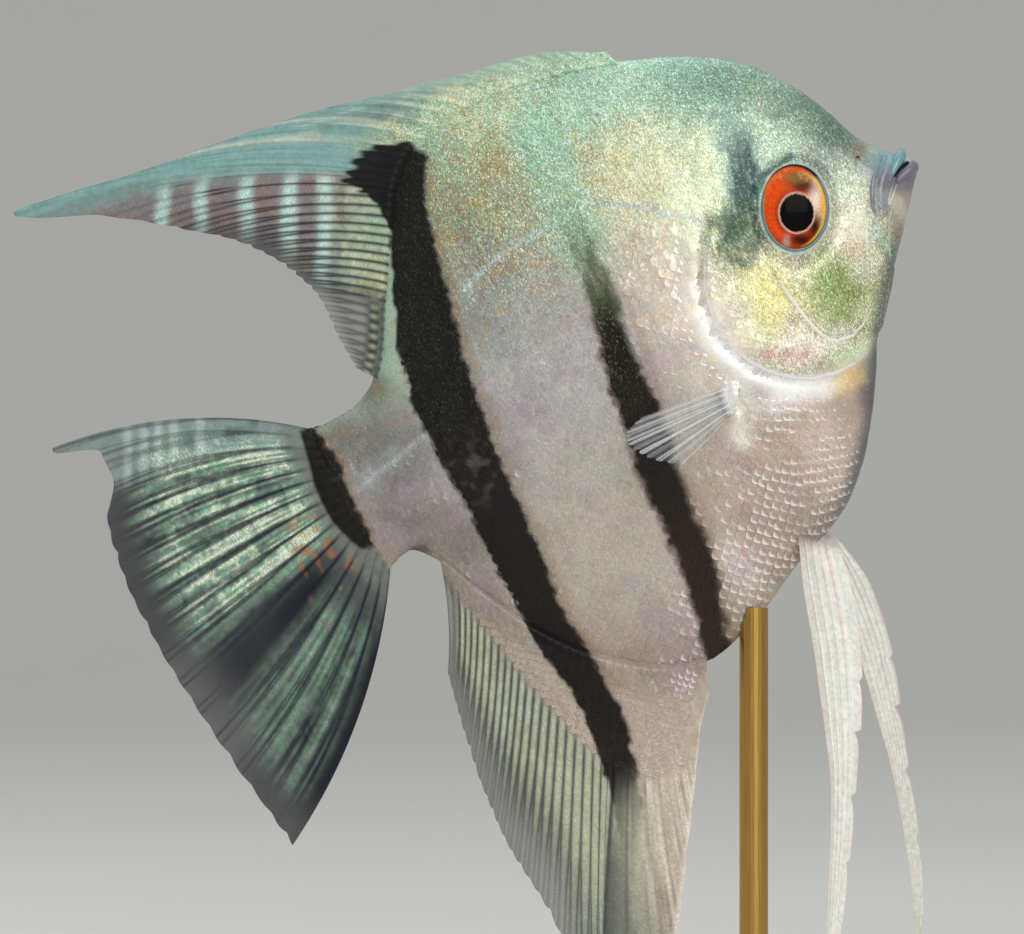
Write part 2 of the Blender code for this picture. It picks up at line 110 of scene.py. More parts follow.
def mesh_object(name, points, groups, material):
    """A smooth object from points in metres and arrays of faces of equal size."""
    mesh = bpy.data.meshes.new(name)
    corners = np.concatenate([np.asarray(g).ravel() for g in groups]).astype(np.int32)
    sizes = np.concatenate([np.full(len(g), np.asarray(g).shape[1]) for g in groups])
    mesh.vertices.add(len(points))
    mesh.vertices.foreach_set("co", np.asarray(points, np.float32).ravel())
    mesh.loops.add(len(corners))
    mesh.loops.foreach_set("vertex_index", corners)
    mesh.polygons.add(len(sizes))
    mesh.polygons.foreach_set("loop_start",
                              (np.cumsum(sizes) - sizes).astype(np.int32))
    mesh.update(calc_edges=True)
    mesh.shade_smooth()
    mesh.materials.append(material)
    obj = bpy.data.objects.new(name, mesh)
    bpy.context.scene.collection.objects.link(obj)
    return obj


def quads_of(rows, columns, closed=False, start=0):
    """The faces of a grid of points, row after row; closed joins its last column."""
    at = start + np.arange(rows * columns).reshape(rows, columns)
    if closed:
        at = np.concatenate([at, at[:, :1]], axis=1)
    return np.stack([at[:-1, :-1], at[:-1, 1:], at[1:, 1:], at[1:, :-1]], -1).reshape(-1, 4)


turn = np.linspace(0, math.pi / 2, 12)
sweep_r = np.concatenate([[0.02, 0.6, 1.2, 1.8], FLOOR_REACH + CARD_CURVE * np.sin(turn),
                          [FLOOR_REACH + CARD_CURVE]])
sweep_z = np.concatenate([[0, 0, 0, 0], CARD_CURVE * (1 - np.cos(turn)), [WALL_TOP]])
around = np.linspace(0, 2 * math.pi, 96, endpoint=False)
sweep = np.stack([sweep_r[:, None] * np.cos(around), sweep_r[:, None] * np.sin(around),
                  np.repeat(sweep_z[:, None], len(around), 1)], -1)
# Matt card: it throws back an even, soft light and shows no gleam of the lamps.
card, tree, shader = finish_of("matt_pale_card")
mottle = add(tree, "TexNoise", {"Vector": add(tree, "TexCoord").outputs["Object"],
                                "Scale": 3.0, "Detail": 3.0})
tone = add(tree, "ValToRGB", {"Fac": mottle.outputs["Fac"]},
           stops=((0.3, "#dbd9d4"), (0.7, CARD)))
tree.links.new(tone.outputs["Color"], shader.inputs["Base Color"])
shader.inputs["Roughness"].default_value = 0.9
shader.inputs["Specular IOR Level"].default_value = 0.15
floor = mesh_object("floor_sweep", sweep.reshape(-1, 3),
                    [quads_of(len(sweep_r), len(around), closed=True),
                     np.arange(len(around))[None, ::-1]], card)

world = bpy.data.worlds.new("soft_daylight")
world.use_nodes = True
sky = world.node_tree.nodes["Background"]
sky.inputs["Color"].default_value = linear("#e9edf0")
sky.inputs["Strength"].default_value = 0.80
bpy.context.scene.world = world

aim = Vector((-0.012, 0.0, 0.115))
for name, place, size, watts, tint in (
        ("key_softbox", (0.40, -1.15, 0.62), 0.80, 8.0, "#fffaf2"),
        ("top_softbox", (0.05, 0.05, 1.25), 0.80, 2.2, "#f6fbff"),
        ("rear_softbox", (-0.95, 0.55, 0.85), 0.70, 5.0, "#f4f8ff")):
    lamp = bpy.data.lights.new(name, "AREA")
    lamp.size, lamp.energy, lamp.color = size, watts, linear(tint)[:3]
    box = bpy.data.objects.new(name, lamp)
    box.location = place
    box.rotation_euler = (aim - box.location).to_track_quat("-Z", "Y").to_euler()
    box.visible_camera = False
    bpy.context.scene.collection.objects.link(box)


# ---- Camera ----
# A long lens, level with the fish's flank and square to it. It sees 142 mm across
# at the fish, so the ends of the anal and pelvic fins lie below its frame.
CAMERA_AWAY, SEEN_WIDTH, SENSOR = 0.90, 0.1422, 36.0
camera_data = bpy.data.cameras.new("side_camera")
camera_data.sensor_width = SENSOR
camera_data.lens = SENSOR * CAMERA_AWAY / SEEN_WIDTH
camera_data.clip_start, camera_data.clip_end = 0.02, 30.0
camera = bpy.data.objects.new("side_camera", camera_data)
camera.location = -0.01597, -CAMERA_AWAY, 0.11875
camera.rotation_euler = math.pi / 2, 0.0, 0.0
bpy.context.scene.collection.objects.link(camera)
bpy.context.scene.camera = camera
bpy.context.scene.view_settings.view_transform = "Standard"


# ---- Skin ----
# One skin from lips to tail base: wet, silvery and thin over the flesh, with the
# gill covers, the folds of the jaws and the rims of the eyes raised in it. It lies
# under the scales by their depth.
PITCH = math.radians(29.0)    # the fish is held nose-up
ROD_BACK = 22.4               # the rod stands this far behind the mouth
EYE_S, EYE_H = 17.5, 3.3
EYE_OPENING = (4.45, 5.72)    # half width and half height
LOBE_S, LOBE_H, LOBE_HALF_LONG, LOBE_HALF_TALL = 38.0, -17.0, 1.7, 4.3
LOBE_LEAN = 0.30              # it leans forwards as it goes up
BACK = ((-0.4, 2.0), (1.2, 3.5), (3.2, 5.7), (4.9, 8.3), (6.1, 12.0), (8.5, 17.5),
        (12.3, 23.4), (18.3, 28.4), (27.0, 32.7), (36.0, 36.0), (45.0, 38.1),
        (52.5, 38.6), (59.0, 37.4), (64.0, 34.0), (68.0, 28.5), (73.0, 21.3),
        (78.5, 12.9), (81.5, 10.3), (85.5, 9.1), (89.0, 9.1), (94.5, 10.2))
BELLY = ((-0.4, -0.3), (2.7, -3.8), (7.1, -8.6), (11.8, -13.6), (15.2, -17.6),
         (20.7, -25.9), (26.0, -32.3), (32.0, -37.0), (41.0, -40.3), (49.1, -43.9),
         (57.5, -45.9), (63.5, -44.1), (69.2, -40.2), (74.2, -34.9), (78.6, -28.3),
         (82.2, -20.9), (84.9, -14.6), (87.5, -12.4), (90.5, -12.9), (94.5, -14.6))
HALF_WIDTH = ((-0.4, 1.2), (2.0, 2.3), (6.0, 3.7), (12.0, 5.3), (18.0, 6.4),
              (26.0, 7.4), (34.0, 7.7), (44.0, 7.3), (54.0, 6.3), (66.0, 4.7),
              (78.0, 3.1), (86.0, 2.3), (94.5, 1.8))
WIDEST = ((-0.4, 0.9), (10.0, 0.8), (20.0, 0.0), (40.0, -3.0), (70.0, -3.0),
          (94.5, -2.0))
SECTION_POWER, SECTION_ROUND = 1.7, 0.62
COAT_DEPTH = 0.22             # the skin lies this far under the scales' faces
HALF_RING = 180               # steps from the back ridge to the belly ridge
TAIL_END, TAIL_BULGE = 93.4, 1.6
GILL_MARGIN = ((28.0, 9.4), (29.3, 7.0), (31.8, 3.4), (34.2, -1.6), (34.9, -6.6),
               (33.6, -11.4), (30.6, -15.6), (26.0, -18.6), (20.8, -19.4),
               (16.6, -18.0), (12.6, -16.0))
PREOPERCLE = ((24.8, 0.0), (24.3, -4.1), (23.9, -8.2), (23.0, -12.8), (21.7, -15.1),
              (19.3, -15.8), (16.3, -14.8), (14.0, -13.1), (11.6, -10.8))
JAW_FOLD = ((3.0, 3.4), (5.3, 1.5), (6.6, -0.4), (7.4, -2.4), (7.7, -4.0))
GAPE = ((0.6, 1.5), (2.1, 1.1), (3.4, -0.1), (4.8, -1.4), (6.6, -3.1))


def through(stations):
    """A smooth curve through the rows (t, value, ...): a function of t."""
    rows = np.array(stations, float)
    t, values = rows[:, 0], rows[:, 1:]
    step = np.diff(t)[:, None]
    chord = np.diff(values, axis=0) / step
    slope = np.zeros_like(values)
    same_way = chord[:-1] * chord[1:] > 0
    near, far = 2 * step[1:] + step[:-1], step[1:] + 2 * step[:-1]
    safe = np.where(same_way, chord[:-1], 1.0), np.where(same_way, chord[1:], 1.0)
    slope[1:-1] = np.where(same_way, (near + far) / (near / safe[0] + far / safe[1]), 0)
    slope[0], slope[-1] = chord[0], chord[-1]

    def at(x):
        x = np.asarray(x, float)
        i = np.clip(np.searchsorted(t, x) - 1, 0, len(t) - 2)
        k = ((x - t[i]) / (t[i + 1] - t[i]))[..., None]
        gap = step[i]
        value = (values[i] * (1 + 2 * k) * (1 - k) ** 2
                 + values[i + 1] * k * k * (3 - 2 * k)
                 + slope[i] * gap * k * (1 - k) ** 2
                 - slope[i + 1] * gap * k * k * (1 - k))
        return value[..., 0] if values.shape[1] == 1 else value

    return at


def smooth_line(points, count=60):
    """A line through the points at even shares of their length."""
    p = np.array(points, float)
    length = np.concatenate([[0], np.cumsum(np.linalg.norm(np.diff(p, axis=0), axis=1))])
    return through(np.column_stack([length, p]))(np.linspace(0, length[-1], count))


def ease(x, low, high):
    """0 below "low" and 1 above "high", with a smooth rise between them."""
    k = np.clip((x - low) / (high - low), 0, 1)
    return k * k * (3 - 2 * k)


def fall(x, low, high):
    """1 below "low" and 0 above "high", with a smooth fall between them."""
    return ease(-x, -high, -low)


def bell(x, width):
    """1 where x is nothing, falling away smoothly to both sides."""
    return np.exp(-(x / width) ** 2)


def noise(a, b, size, seed):
    """Smooth noise from -1 to 1 whose lumps are "size" across."""
    table = np.random.default_rng(seed).uniform(-1, 1, (64, 64))
    x, z = np.asarray(a) / size, np.asarray(b) / size
    i, j = np.floor(x).astype(int), np.floor(z).astype(int)
    u, v = x - i, z - j
    u, v = u * u * (3 - 2 * u), v * v * (3 - 2 * v)
    low = table[i % 64, j % 64] * (1 - u) + table[(i + 1) % 64, j % 64] * u
    high = table[i % 64, (j + 1) % 64] * (1 - u) + table[(i + 1) % 64, (j + 1) % 64] * u
    return low * (1 - v) + high * v


def from_place(s, h, at_s, at_h, reach_s, reach_h):
    """How far a point is from a place, squared: 1 at the reach along and across."""
    return ((s - at_s) / reach_s) ** 2 + ((h - at_h) / reach_h) ** 2


def from_line(s, h, line):
    """Distance to a line of (s, h) points, positive on its left, and the share of
    the line at which the nearest point lies."""
    best = np.full(np.shape(s), 1e9)
    share = np.zeros(np.shape(s))
    for k in range(len(line) - 1):
        a, ab = line[k], line[k + 1] - line[k]
        ds, dh = s - a[0], h - a[1]
        t = np.clip((ds * ab[0] + dh * ab[1]) / (ab @ ab), 0, 1)
        away = np.hypot(ds - t * ab[0], dh - t * ab[1])
        nearer = away < np.abs(best)
        side = np.where(ab[0] * dh - ab[1] * ds >= 0, 1.0, -1.0)
        best = np.where(nearer, side * away, best)
        share = np.where(nearer, (k + t) / (len(line) - 1), share)
    return best, share


back, belly, half_width, widest = map(through, (BACK, BELLY, HALF_WIDTH, WIDEST))
margin_line, cheek_line = smooth_line(GILL_MARGIN), smooth_line(PREOPERCLE)
fold_line, gape_line = smooth_line(JAW_FOLD, 30), smooth_line(GAPE, 30)
eye_low, eye_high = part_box("eye_right")
eye_centre = (eye_low + eye_high) / 2 / MM
rod_low, rod_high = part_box("stand_rod")
MOUTH_X = (rod_low.x + rod_high.x) / 2 / MM + ROD_BACK
MOUTH_Z = eye_centre.z + EYE_S * math.sin(PITCH) - EYE_H * math.cos(PITCH)


def world_of(points):
    """Fish-frame points (s, h, y) in millimetres to metres in the row frame."""
    p = np.asarray(points, float)
    s, h, y = p[..., 0], p[..., 1], p[..., 2]
    return np.stack([MOUTH_X - s * math.cos(PITCH) - h * math.sin(PITCH), y,
                     MOUTH_Z - s * math.sin(PITCH) + h * math.cos(PITCH)], -1) * MM


def eye_reach(s, h):
    """How far a point is from the eye's centre: 1 at the edge of the opening."""
    forward = (EYE_S - s) * math.cos(PITCH) - (h - EYE_H) * math.sin(PITCH)
    upright = (EYE_S - s) * math.sin(PITCH) + (h - EYE_H) * math.cos(PITCH)
    return np.hypot(forward / EYE_OPENING[0], upright / EYE_OPENING[1])


def lobe_reach(s, h):
    """How far a point is from the fleshy lobe of the pectoral fin: 1 on its edge."""
    return np.hypot((s - LOBE_S + LOBE_LEAN * (h - LOBE_H)) / LOBE_HALF_LONG,
                    (h - LOBE_H) / LOBE_HALF_TALL)


def rise(s, h):
    """Height of the skin over the plain body, in millimetres."""
    # A hollow for the eyeball, with a raised rim round it and a groove round that.
    away = eye_reach(s, h)
    lift = -2.4 * ease(1.02 - away, 0, 0.35) + 0.20 * bell(away - 1.12, 0.12)
    lift -= 0.18 * bell(away - 1.45, 0.16)
    # The gill cover, and the groove behind its rear edge.
    behind, along = from_line(s, h, margin_line)
    on_cover = fall(behind, -0.35, 0.15) * ease(behind, -11.0, -2.0)
    lift += 0.42 * on_cover * ease(along, 0.0, 0.12) * (s > 9)
    lift -= 0.13 * bell(behind - 0.9, 0.7) * ease(along, 0.0, 0.1) * (s > 12)
    # The ridge of the cheek plate, the fold over the jawbone and the corner of the mouth.
    cheek, along = from_line(s, h, cheek_line)
    fade = ease(along, 0, 0.15) * ease(1 - along, 0, 0.2)
    lift += (0.16 * bell(cheek + 0.55, 0.5) - 0.20 * bell(cheek - 0.35, 0.4)) * fade
    fold, along = from_line(s, h, fold_line)
    lift += (0.22 * bell(fold + 0.8, 0.55) - 0.30 * bell(fold - 0.1, 0.32)) * (h < 3.9)
    gape, along = from_line(s, h, gape_line)
    lift -= 0.42 * bell(gape, 0.26) * ease(1 - along, 0, 0.3)
    # The fleshy lobe of the pectoral fin, then the slight lumps of living skin.
    lobe = lobe_reach(s, h)
    lift += (0.55 + 0.12 * noise(s, h, 1.2, 5)) * fall(lobe, 0.35, 1.0)
    lift += 0.05 * noise(s, h, 2.6, 3) + 0.03 * noise(s, h, 1.1, 4)
    return lift


# Half the body: at each station along it, a row of points evenly spaced over the
# skin from the back ridge, down the left side, to the belly ridge.
stations = np.concatenate([np.linspace(-0.4, 4, 24, endpoint=False),
                           np.linspace(4, 36, 124, endpoint=False),
                           np.linspace(36, TAIL_END, 104)])
steep = np.linspace(0, math.pi, 700)
upness = np.cos(steep)
share_down = np.linspace(0, 1, HALF_RING + 1)
flesh = np.zeros((len(stations), HALF_RING + 1, 3))
arc_above, arc_all = np.zeros(len(stations)), np.zeros(len(stations))
for row, s_now in enumerate(stations):
    middle = float(widest(s_now))
    up_reach, down_reach = back(s_now) - middle, middle - belly(s_now)
    height = middle + np.where(upness > 0, up_reach, down_reach) * upness
    width = half_width(s_now) * (1 - np.abs(upness) ** SECTION_POWER) ** SECTION_ROUND
    blunt = min(1.0, 0.16 + math.sqrt(max(0.0, 1 - max(0.0, (0.7 - s_now) / 1.12) ** 2)))
    centre = (back(s_now) + belly(s_now)) / 2
    height = centre + (height - centre) * blunt
    tail = float(ease(s_now, TAIL_END - 2.6, TAIL_END + 0.3))
    width = width * blunt * (1 - 0.62 * tail)
    arc = np.concatenate([[0], np.cumsum(np.hypot(np.diff(height), np.diff(width)))])
    flesh[row, :, 1] = np.interp(share_down * arc[-1], arc, height)
    flesh[row, :, 2] = np.interp(share_down * arc[-1], arc, width)
    arc_all[row] = arc[-1]
    arc_above[row] = np.interp(0, -height, arc)
    bulge = TAIL_BULGE * (2 * np.clip((12 - flesh[row, :, 1]) / 28, 0, 1) - 1) ** 2
    flesh[row, :, 0] = s_now - bulge * ease(s_now, 84, TAIL_END)


def facing(grid):
    """Unit normals of the half body, which point away from the fish."""
    mirror = np.array([1, 1, -1.0])
    wide = np.concatenate([grid[:, 1:2] * mirror, grid, grid[:, -2:-1] * mirror], 1)
    down = wide[:, 2:] - wide[:, :-2]
    along = np.gradient(grid, axis=0)
    normal = np.cross(down, along)
    return normal / np.maximum(np.linalg.norm(normal, axis=2, keepdims=True), 1e-9)


outward = facing(flesh)
if outward[100, 100, 2] < 0:
    outward = -outward
lift = rise(flesh[..., 0], flesh[..., 1]) - COAT_DEPTH
lift *= ease(stations, -0.4, 0.8)[:, None] * 0.9 + 0.1
half_skin = flesh + outward * lift[..., None]
half_skin[:, [0, -1], 2] = 0.0
skin_facing = facing(half_skin)
if skin_facing[100, 100, 2] < 0:
    skin_facing = -skin_facing


def on_skin(s, share, side, above=0.0):
    """Points of the skin: "share" of the way from the back ridge to the belly
    ridge, on the left (side 1) or right (-1), "above" it in millimetres."""
    crossed = (share < 0) | (share > 1)      # past a ridge, on the other side
    share = np.where(share < 0, -share, np.where(share > 1, 2 - share, share))
    side = np.where(crossed, -side, side)
    x = np.interp(s, stations, np.arange(len(stations)))
    i = np.clip(np.floor(x).astype(int), 0, len(stations) - 2)
    z = np.clip(share * HALF_RING, 0, HALF_RING)
    j = np.clip(np.floor(z).astype(int), 0, HALF_RING - 1)
    u, v = (x - i)[..., None], (z - j)[..., None]
    found = []
    for grid in (half_skin, skin_facing):
        found.append((grid[i, j] * (1 - u) + grid[i + 1, j] * u) * (1 - v)
                     + (grid[i, j + 1] * (1 - u) + grid[i + 1, j + 1] * u) * v)
    place = found[0] + found[1] * np.asarray(above)[..., None]
    place[..., 2] *= side
    return place


def share_at(s, h):
    """The share of the way down the side at which the body has the height h."""
    rows = np.clip(np.round(np.interp(s, stations, np.arange(len(stations)))), 0,
                   len(stations) - 1).astype(int)
    return np.array([np.interp(-high, -flesh[row, :, 1], share_down)
                     for row, high in zip(rows, h)])


# The markings lie in the skin's pigment cells: silver and cream cells all over, blue green
# ones along the back, and black ones in four upright bars. A few are painted light and shade
# instead: the pale shoulder in part, the white gleam behind the gill cover and the dark front
# edge of the throat. Fins and scales take their colours from the same pattern.
# The plain flank, from the belly ridge at 0 to the back ridge at 1.
FLANK = ((-0.30, "#8d8078"), (0.0, "#a09184"), (0.10, "#ac9d8e"), (0.25, "#b0a598"),
         (0.40, "#b0aaa2"), (0.55, "#aeaaaa"), (0.70, "#aeaea6"), (0.82, "#adb5a2"),
         (0.93, "#a5bfac"), (1.0, "#98b8a8"), (1.3, "#8fb0a4"))
# Soft patches of one colour: centre (s, h), reach (along, across), colour, strength.
PATCHES = (
    # Shoulder, nape and forehead. The pale shoulder is partly painted light, brightest where
    # the light falls from the front and above.
    (29.5, 17.0, 10.0, 10.5, "#dcebc6", 0.92), (35.5, 15.5, 7.0, 9.0, "#e0dcba", 0.75),
    (28.5, 8.0, 6.0, 6.0, "#e4efcc", 0.85), (38.5, 2.5, 6.0, 11.0, "#d6cbbd", 0.80),
    (35.6, -4.5, 3.0, 8.0, "#f6efe8", 0.85), (33.0, 30.0, 11.0, 5.0, "#aed6c4", 0.85),
    (20.5, 24.5, 8.0, 6.0, "#7fa398", 0.92), (7.6, 14.5, 3.8, 8.5, "#4e665e", 0.92),
    (14.5, 12.5, 5.0, 5.0, "#9dbda9", 0.75), (14.6, 22.8, 5.0, 3.0, "#6d8a7e", 0.70),
    (8.8, 8.4, 5.0, 4.4, "#566d64", 0.92), (12.4, 16.6, 3.4, 4.0, "#708e85", 0.75),
    (8.8, 5.8, 3.4, 2.8, "#84938b", 0.80),
    # Back and flank.
    (43.5, 31.5, 2.4, 8.0, "#a0d2c2", 0.70), (50.6, 30.0, 3.0, 5.0, "#b3a676", 0.60),
    (64.6, 13.4, 2.6, 5.0, "#7d7b78", 0.65), (80.6, 9.6, 2.6, 2.4, "#5d5e58", 0.80),
    (48.5, 36.0, 8.0, 5.0, "#c4d4b6", 0.80), (54.0, 26.5, 6.0, 9.0, "#9f9f84", 0.75),
    (59.0, 23.0, 2.6, 9.0, "#8c8972", 0.70), (59.5, 13.0, 6.0, 9.0, "#94979a", 0.75),
    (55.0, 0.0, 6.0, 10.0, "#b3afae", 0.65), (68.0, -5.0, 2.6, 8.0, "#948d8a", 0.70),
    # Belly and breast.
    (61.0, -26.0, 6.0, 9.0, "#baafa2", 0.70), (57.0, -31.0, 3.0, 6.0, "#bdb3aa", 0.60),
    (38.0, -27.0, 11.0, 9.0, "#b8a192", 0.85), (31.5, -30.0, 3.5, 7.0, "#cdbbae", 0.60),
    (48.0, -36.0, 3.0, 5.0, "#dcd0ca", 0.75), (49.5, -26.0, 2.2, 5.0, "#a08d80", 0.60),
    (29.0, -26.0, 3.2, 6.0, "#c9b4a8", 0.60),
    # Behind the gill cover, and the root of the pectoral fin.
    (31.0, -18.6, 4.2, 2.2, "#f7f2f1", 0.85), (36.5, -15.5, 2.4, 3.0, "#e6e4df", 0.80),
    (26.0, -20.6, 2.6, 1.4, "#f1ece0", 0.80), (41.0, -12.0, 2.4, 3.4, "#d5ceca", 0.70),
    (38.1, -17.4, 1.3, 3.4, "#f0ebd8", 0.90), (39.2, -20.6, 1.6, 2.0, "#f2ece2", 0.85),
    # Tail stalk.
    (84.0, 1.5, 8.0, 8.5, "#6f6b6d", 0.90), (86.5, -7.5, 6.0, 5.0, "#746e6b", 0.85),
    (80.0, -14.0, 5.0, 7.0, "#756b68", 0.85), (83.0, -21.0, 4.0, 5.0, "#8c8078", 0.70),
    (88.0, 6.5, 3.0, 2.6, "#646160", 0.80), (86.0, -13.2, 2.2, 1.6, "#514744", 0.85),
    (80.0, -23.0, 2.4, 4.0, "#776d67", 0.50),
    # Cheek and gill cover.
    (9.6, 1.9, 3.0, 3.2, "#b9c9b4", 0.75), (10.8, -3.0, 3.0, 2.8, "#eff3d6", 0.92),
    (12.9, -3.8, 3.0, 2.4, "#f3e9da", 0.85), (13.4, -6.0, 1.8, 2.8, "#f4cdc6", 0.80),
    (9.2, -4.9, 1.0, 1.4, "#c4dcdc", 0.70), (11.0, -7.6, 1.6, 2.6, "#e6ddc2", 0.70),
    (18.5, -4.6, 3.0, 1.3, "#ebe9c8", 0.70), (18.0, -9.4, 5.0, 6.4, "#8aa062", 0.95),
    (16.4, -10.4, 1.2, 1.5, "#9a8a55", 0.50), (13.2, -8.8, 2.0, 2.4, "#dfe0c4", 0.80),
    (15.4, -13.8, 2.0, 1.8, "#d2d6b0", 0.80), (27.0, -5.6, 5.2, 7.2, "#f2eeb4", 0.95),
    (26.6, -6.0, 3.4, 4.2, "#e6d282", 0.60), (31.6, -6.0, 2.6, 5.0, "#f3efd2", 0.60),
    (25.3, -10.4, 0.9, 0.8, "#ab8a6a", 0.70), (26.5, -13.6, 3.6, 2.6, "#fff2e2", 0.75),
    (25.0, -14.8, 3.2, 1.8, "#f8e2d8", 0.60), (21.0, -15.4, 3.0, 1.8, "#f2eedc", 0.70),
    (30.3, -12.4, 1.4, 1.0, "#c9979c", 0.75), (28.4, -13.8, 1.4, 1.0, "#c9979c", 0.75),
    (26.5, -15.2, 1.4, 1.0, "#c9979c", 0.75), (19.9, -17.9, 4.6, 1.5, "#cfdcb8", 0.90),
    (14.2, -15.6, 2.2, 1.4, "#b4c8a2", 0.85),
    # Throat and jaws.
    (22.4, -21.0, 2.7, 1.9, "#e8c88a", 0.85), (20.8, -24.4, 1.9, 2.1, "#5f5546", 0.85),
    (18.2, -21.6, 1.9, 2.2, "#7d8a74", 0.75), (8.6, -8.4, 1.6, 4.6, "#a8bbaa", 0.90),
    (11.6, -12.6, 1.5, 2.4, "#b4c6a4", 0.80),
    # Lips and snout.
    (3.6, 2.8, 3.2, 2.4, "#718a8c", 0.90), (1.4, -0.9, 2.4, 2.0, "#6b6876", 0.92),
    (2.2, 2.9, 1.7, 1.5, "#6f9ca0", 0.95), (4.3, 0.1, 2.1, 1.9, "#6e6e7c", 0.95),
    (6.2, -1.9, 1.2, 1.6, "#7f93a0", 0.90), (4.6, -3.6, 1.0, 2.6, "#c9cfa4", 0.80),
    (5.6, 6.4, 1.3, 0.9, "#7b6152", 0.55))
PATCH_EDGE = 1.4              # 1 fades like a bell, and more holds out, then drops
# Lines of the bars, as (h, s): the middle of the first two, and the front and rear
# edges of the others.
EYE_BAR = ((1.0, 29.4), (1.6, 29.3), (4.2, 26.4), (6.0, 24.2), (8.8, 21.9),
           (12.7, 20.3), (17.0, 19.4), (21.0, 18.6))
SECOND_BAR = ((-47.0, 57.0), (-42.6, 55.7), (-38.4, 54.2), (-31.1, 52.8), (-23.6, 52.1),
              (-16.4, 50.9), (-9.0, 49.6), (-0.5, 47.8), (6.4, 46.2), (14.0, 45.3),
              (20.5, 44.6), (34.0, 43.0))
THIRD_FRONT = ((-66.0, 79.2), (-60.4, 77.0), (-55.2, 75.0), (-49.7, 73.3), (-44.0, 72.2),
               (-31.3, 72.8), (-19.0, 71.2), (-12.7, 70.9), (-6.7, 70.2), (-0.9, 69.2),
               (5.1, 68.2), (10.7, 66.9), (16.1, 65.5), (21.6, 64.1), (26.9, 62.2),
               (31.5, 60.2), (34.6, 58.2), (37.4, 60.3), (38.8, 63.4), (41.0, 66.0))
THIRD_REAR = ((-65.0, 82.0), (-58.9, 80.0), (-53.2, 78.7), (-47.9, 77.3), (-41.5, 77.0),
              (-28.4, 78.0), (-16.3, 77.4), (-9.7, 77.2), (3.1, 77.1), (8.8, 75.9),
              (14.3, 74.3), (19.4, 72.1), (24.2, 69.7), (29.3, 67.6), (32.7, 67.8),
              (36.8, 69.4), (38.6, 67.6), (41.0, 66.5))
TAIL_FRONT = ((-9.6, 91.6), (-7.7, 90.6), (-2.4, 90.3), (0.5, 89.9), (3.2, 89.4),
              (6.0, 89.8), (9.8, 90.0))
TAIL_REAR = ((-9.6, 91.9), (-8.6, 92.8), (-6.1, 93.8), (-2.8, 94.5), (1.4, 94.3),
             (5.0, 93.4), (9.8, 92.3))
LATERAL_LINE = ((28.5, 7.4), (33.0, 10.7), (36.0, 13.8), (39.8, 16.4), (43.5, 17.5),
                (49.0, 17.6), (54.6, 17.6), (59.0, 16.8), (63.5, 15.4))
TAIL_LINE = ((66.0, 2.6), (76.2, 0.9), (83.0, -0.2), (91.0, -1.7))
flank = through([(k, *linear(code)[:3]) for k, code in FLANK])
eye_bar, second_bar = through(EYE_BAR), through(SECOND_BAR)
third_front, third_rear = through(THIRD_FRONT), through(THIRD_REAR)
tail_front, tail_rear = through(TAIL_FRONT), through(TAIL_REAR)
lateral_line, tail_line = smooth_line(LATERAL_LINE), smooth_line(TAIL_LINE, 20)


def over(colour, code, weight):
    """The colour with a second one laid over it."""
    return colour + (np.array(linear(code)[:3]) - colour) * np.asarray(weight)[..., None]


def lay(colour, layers):
    """The colour with each (colour code, weight) laid over it in turn."""
    for code, weight in layers:
        colour = over(colour, code, weight)
    return colour


def third_bar_at(s, h):
    """How much of the third bar covers a point, and its distance behind the front."""
    wobble = 0.34 * noise(s, h, 1.5, 21) + 0.18 * noise(s, h, 0.7, 22)
    front = s - third_front(h) + wobble + 0.6 * fall(h, 20, 30)
    rear = third_rear(h) - s + wobble
    cover = ease(front, -0.35, 0.55) * ease(rear, -0.20, 0.25)
    return cover * ease(h, -67, -52) * fall(h, 36.0, 37.6), front


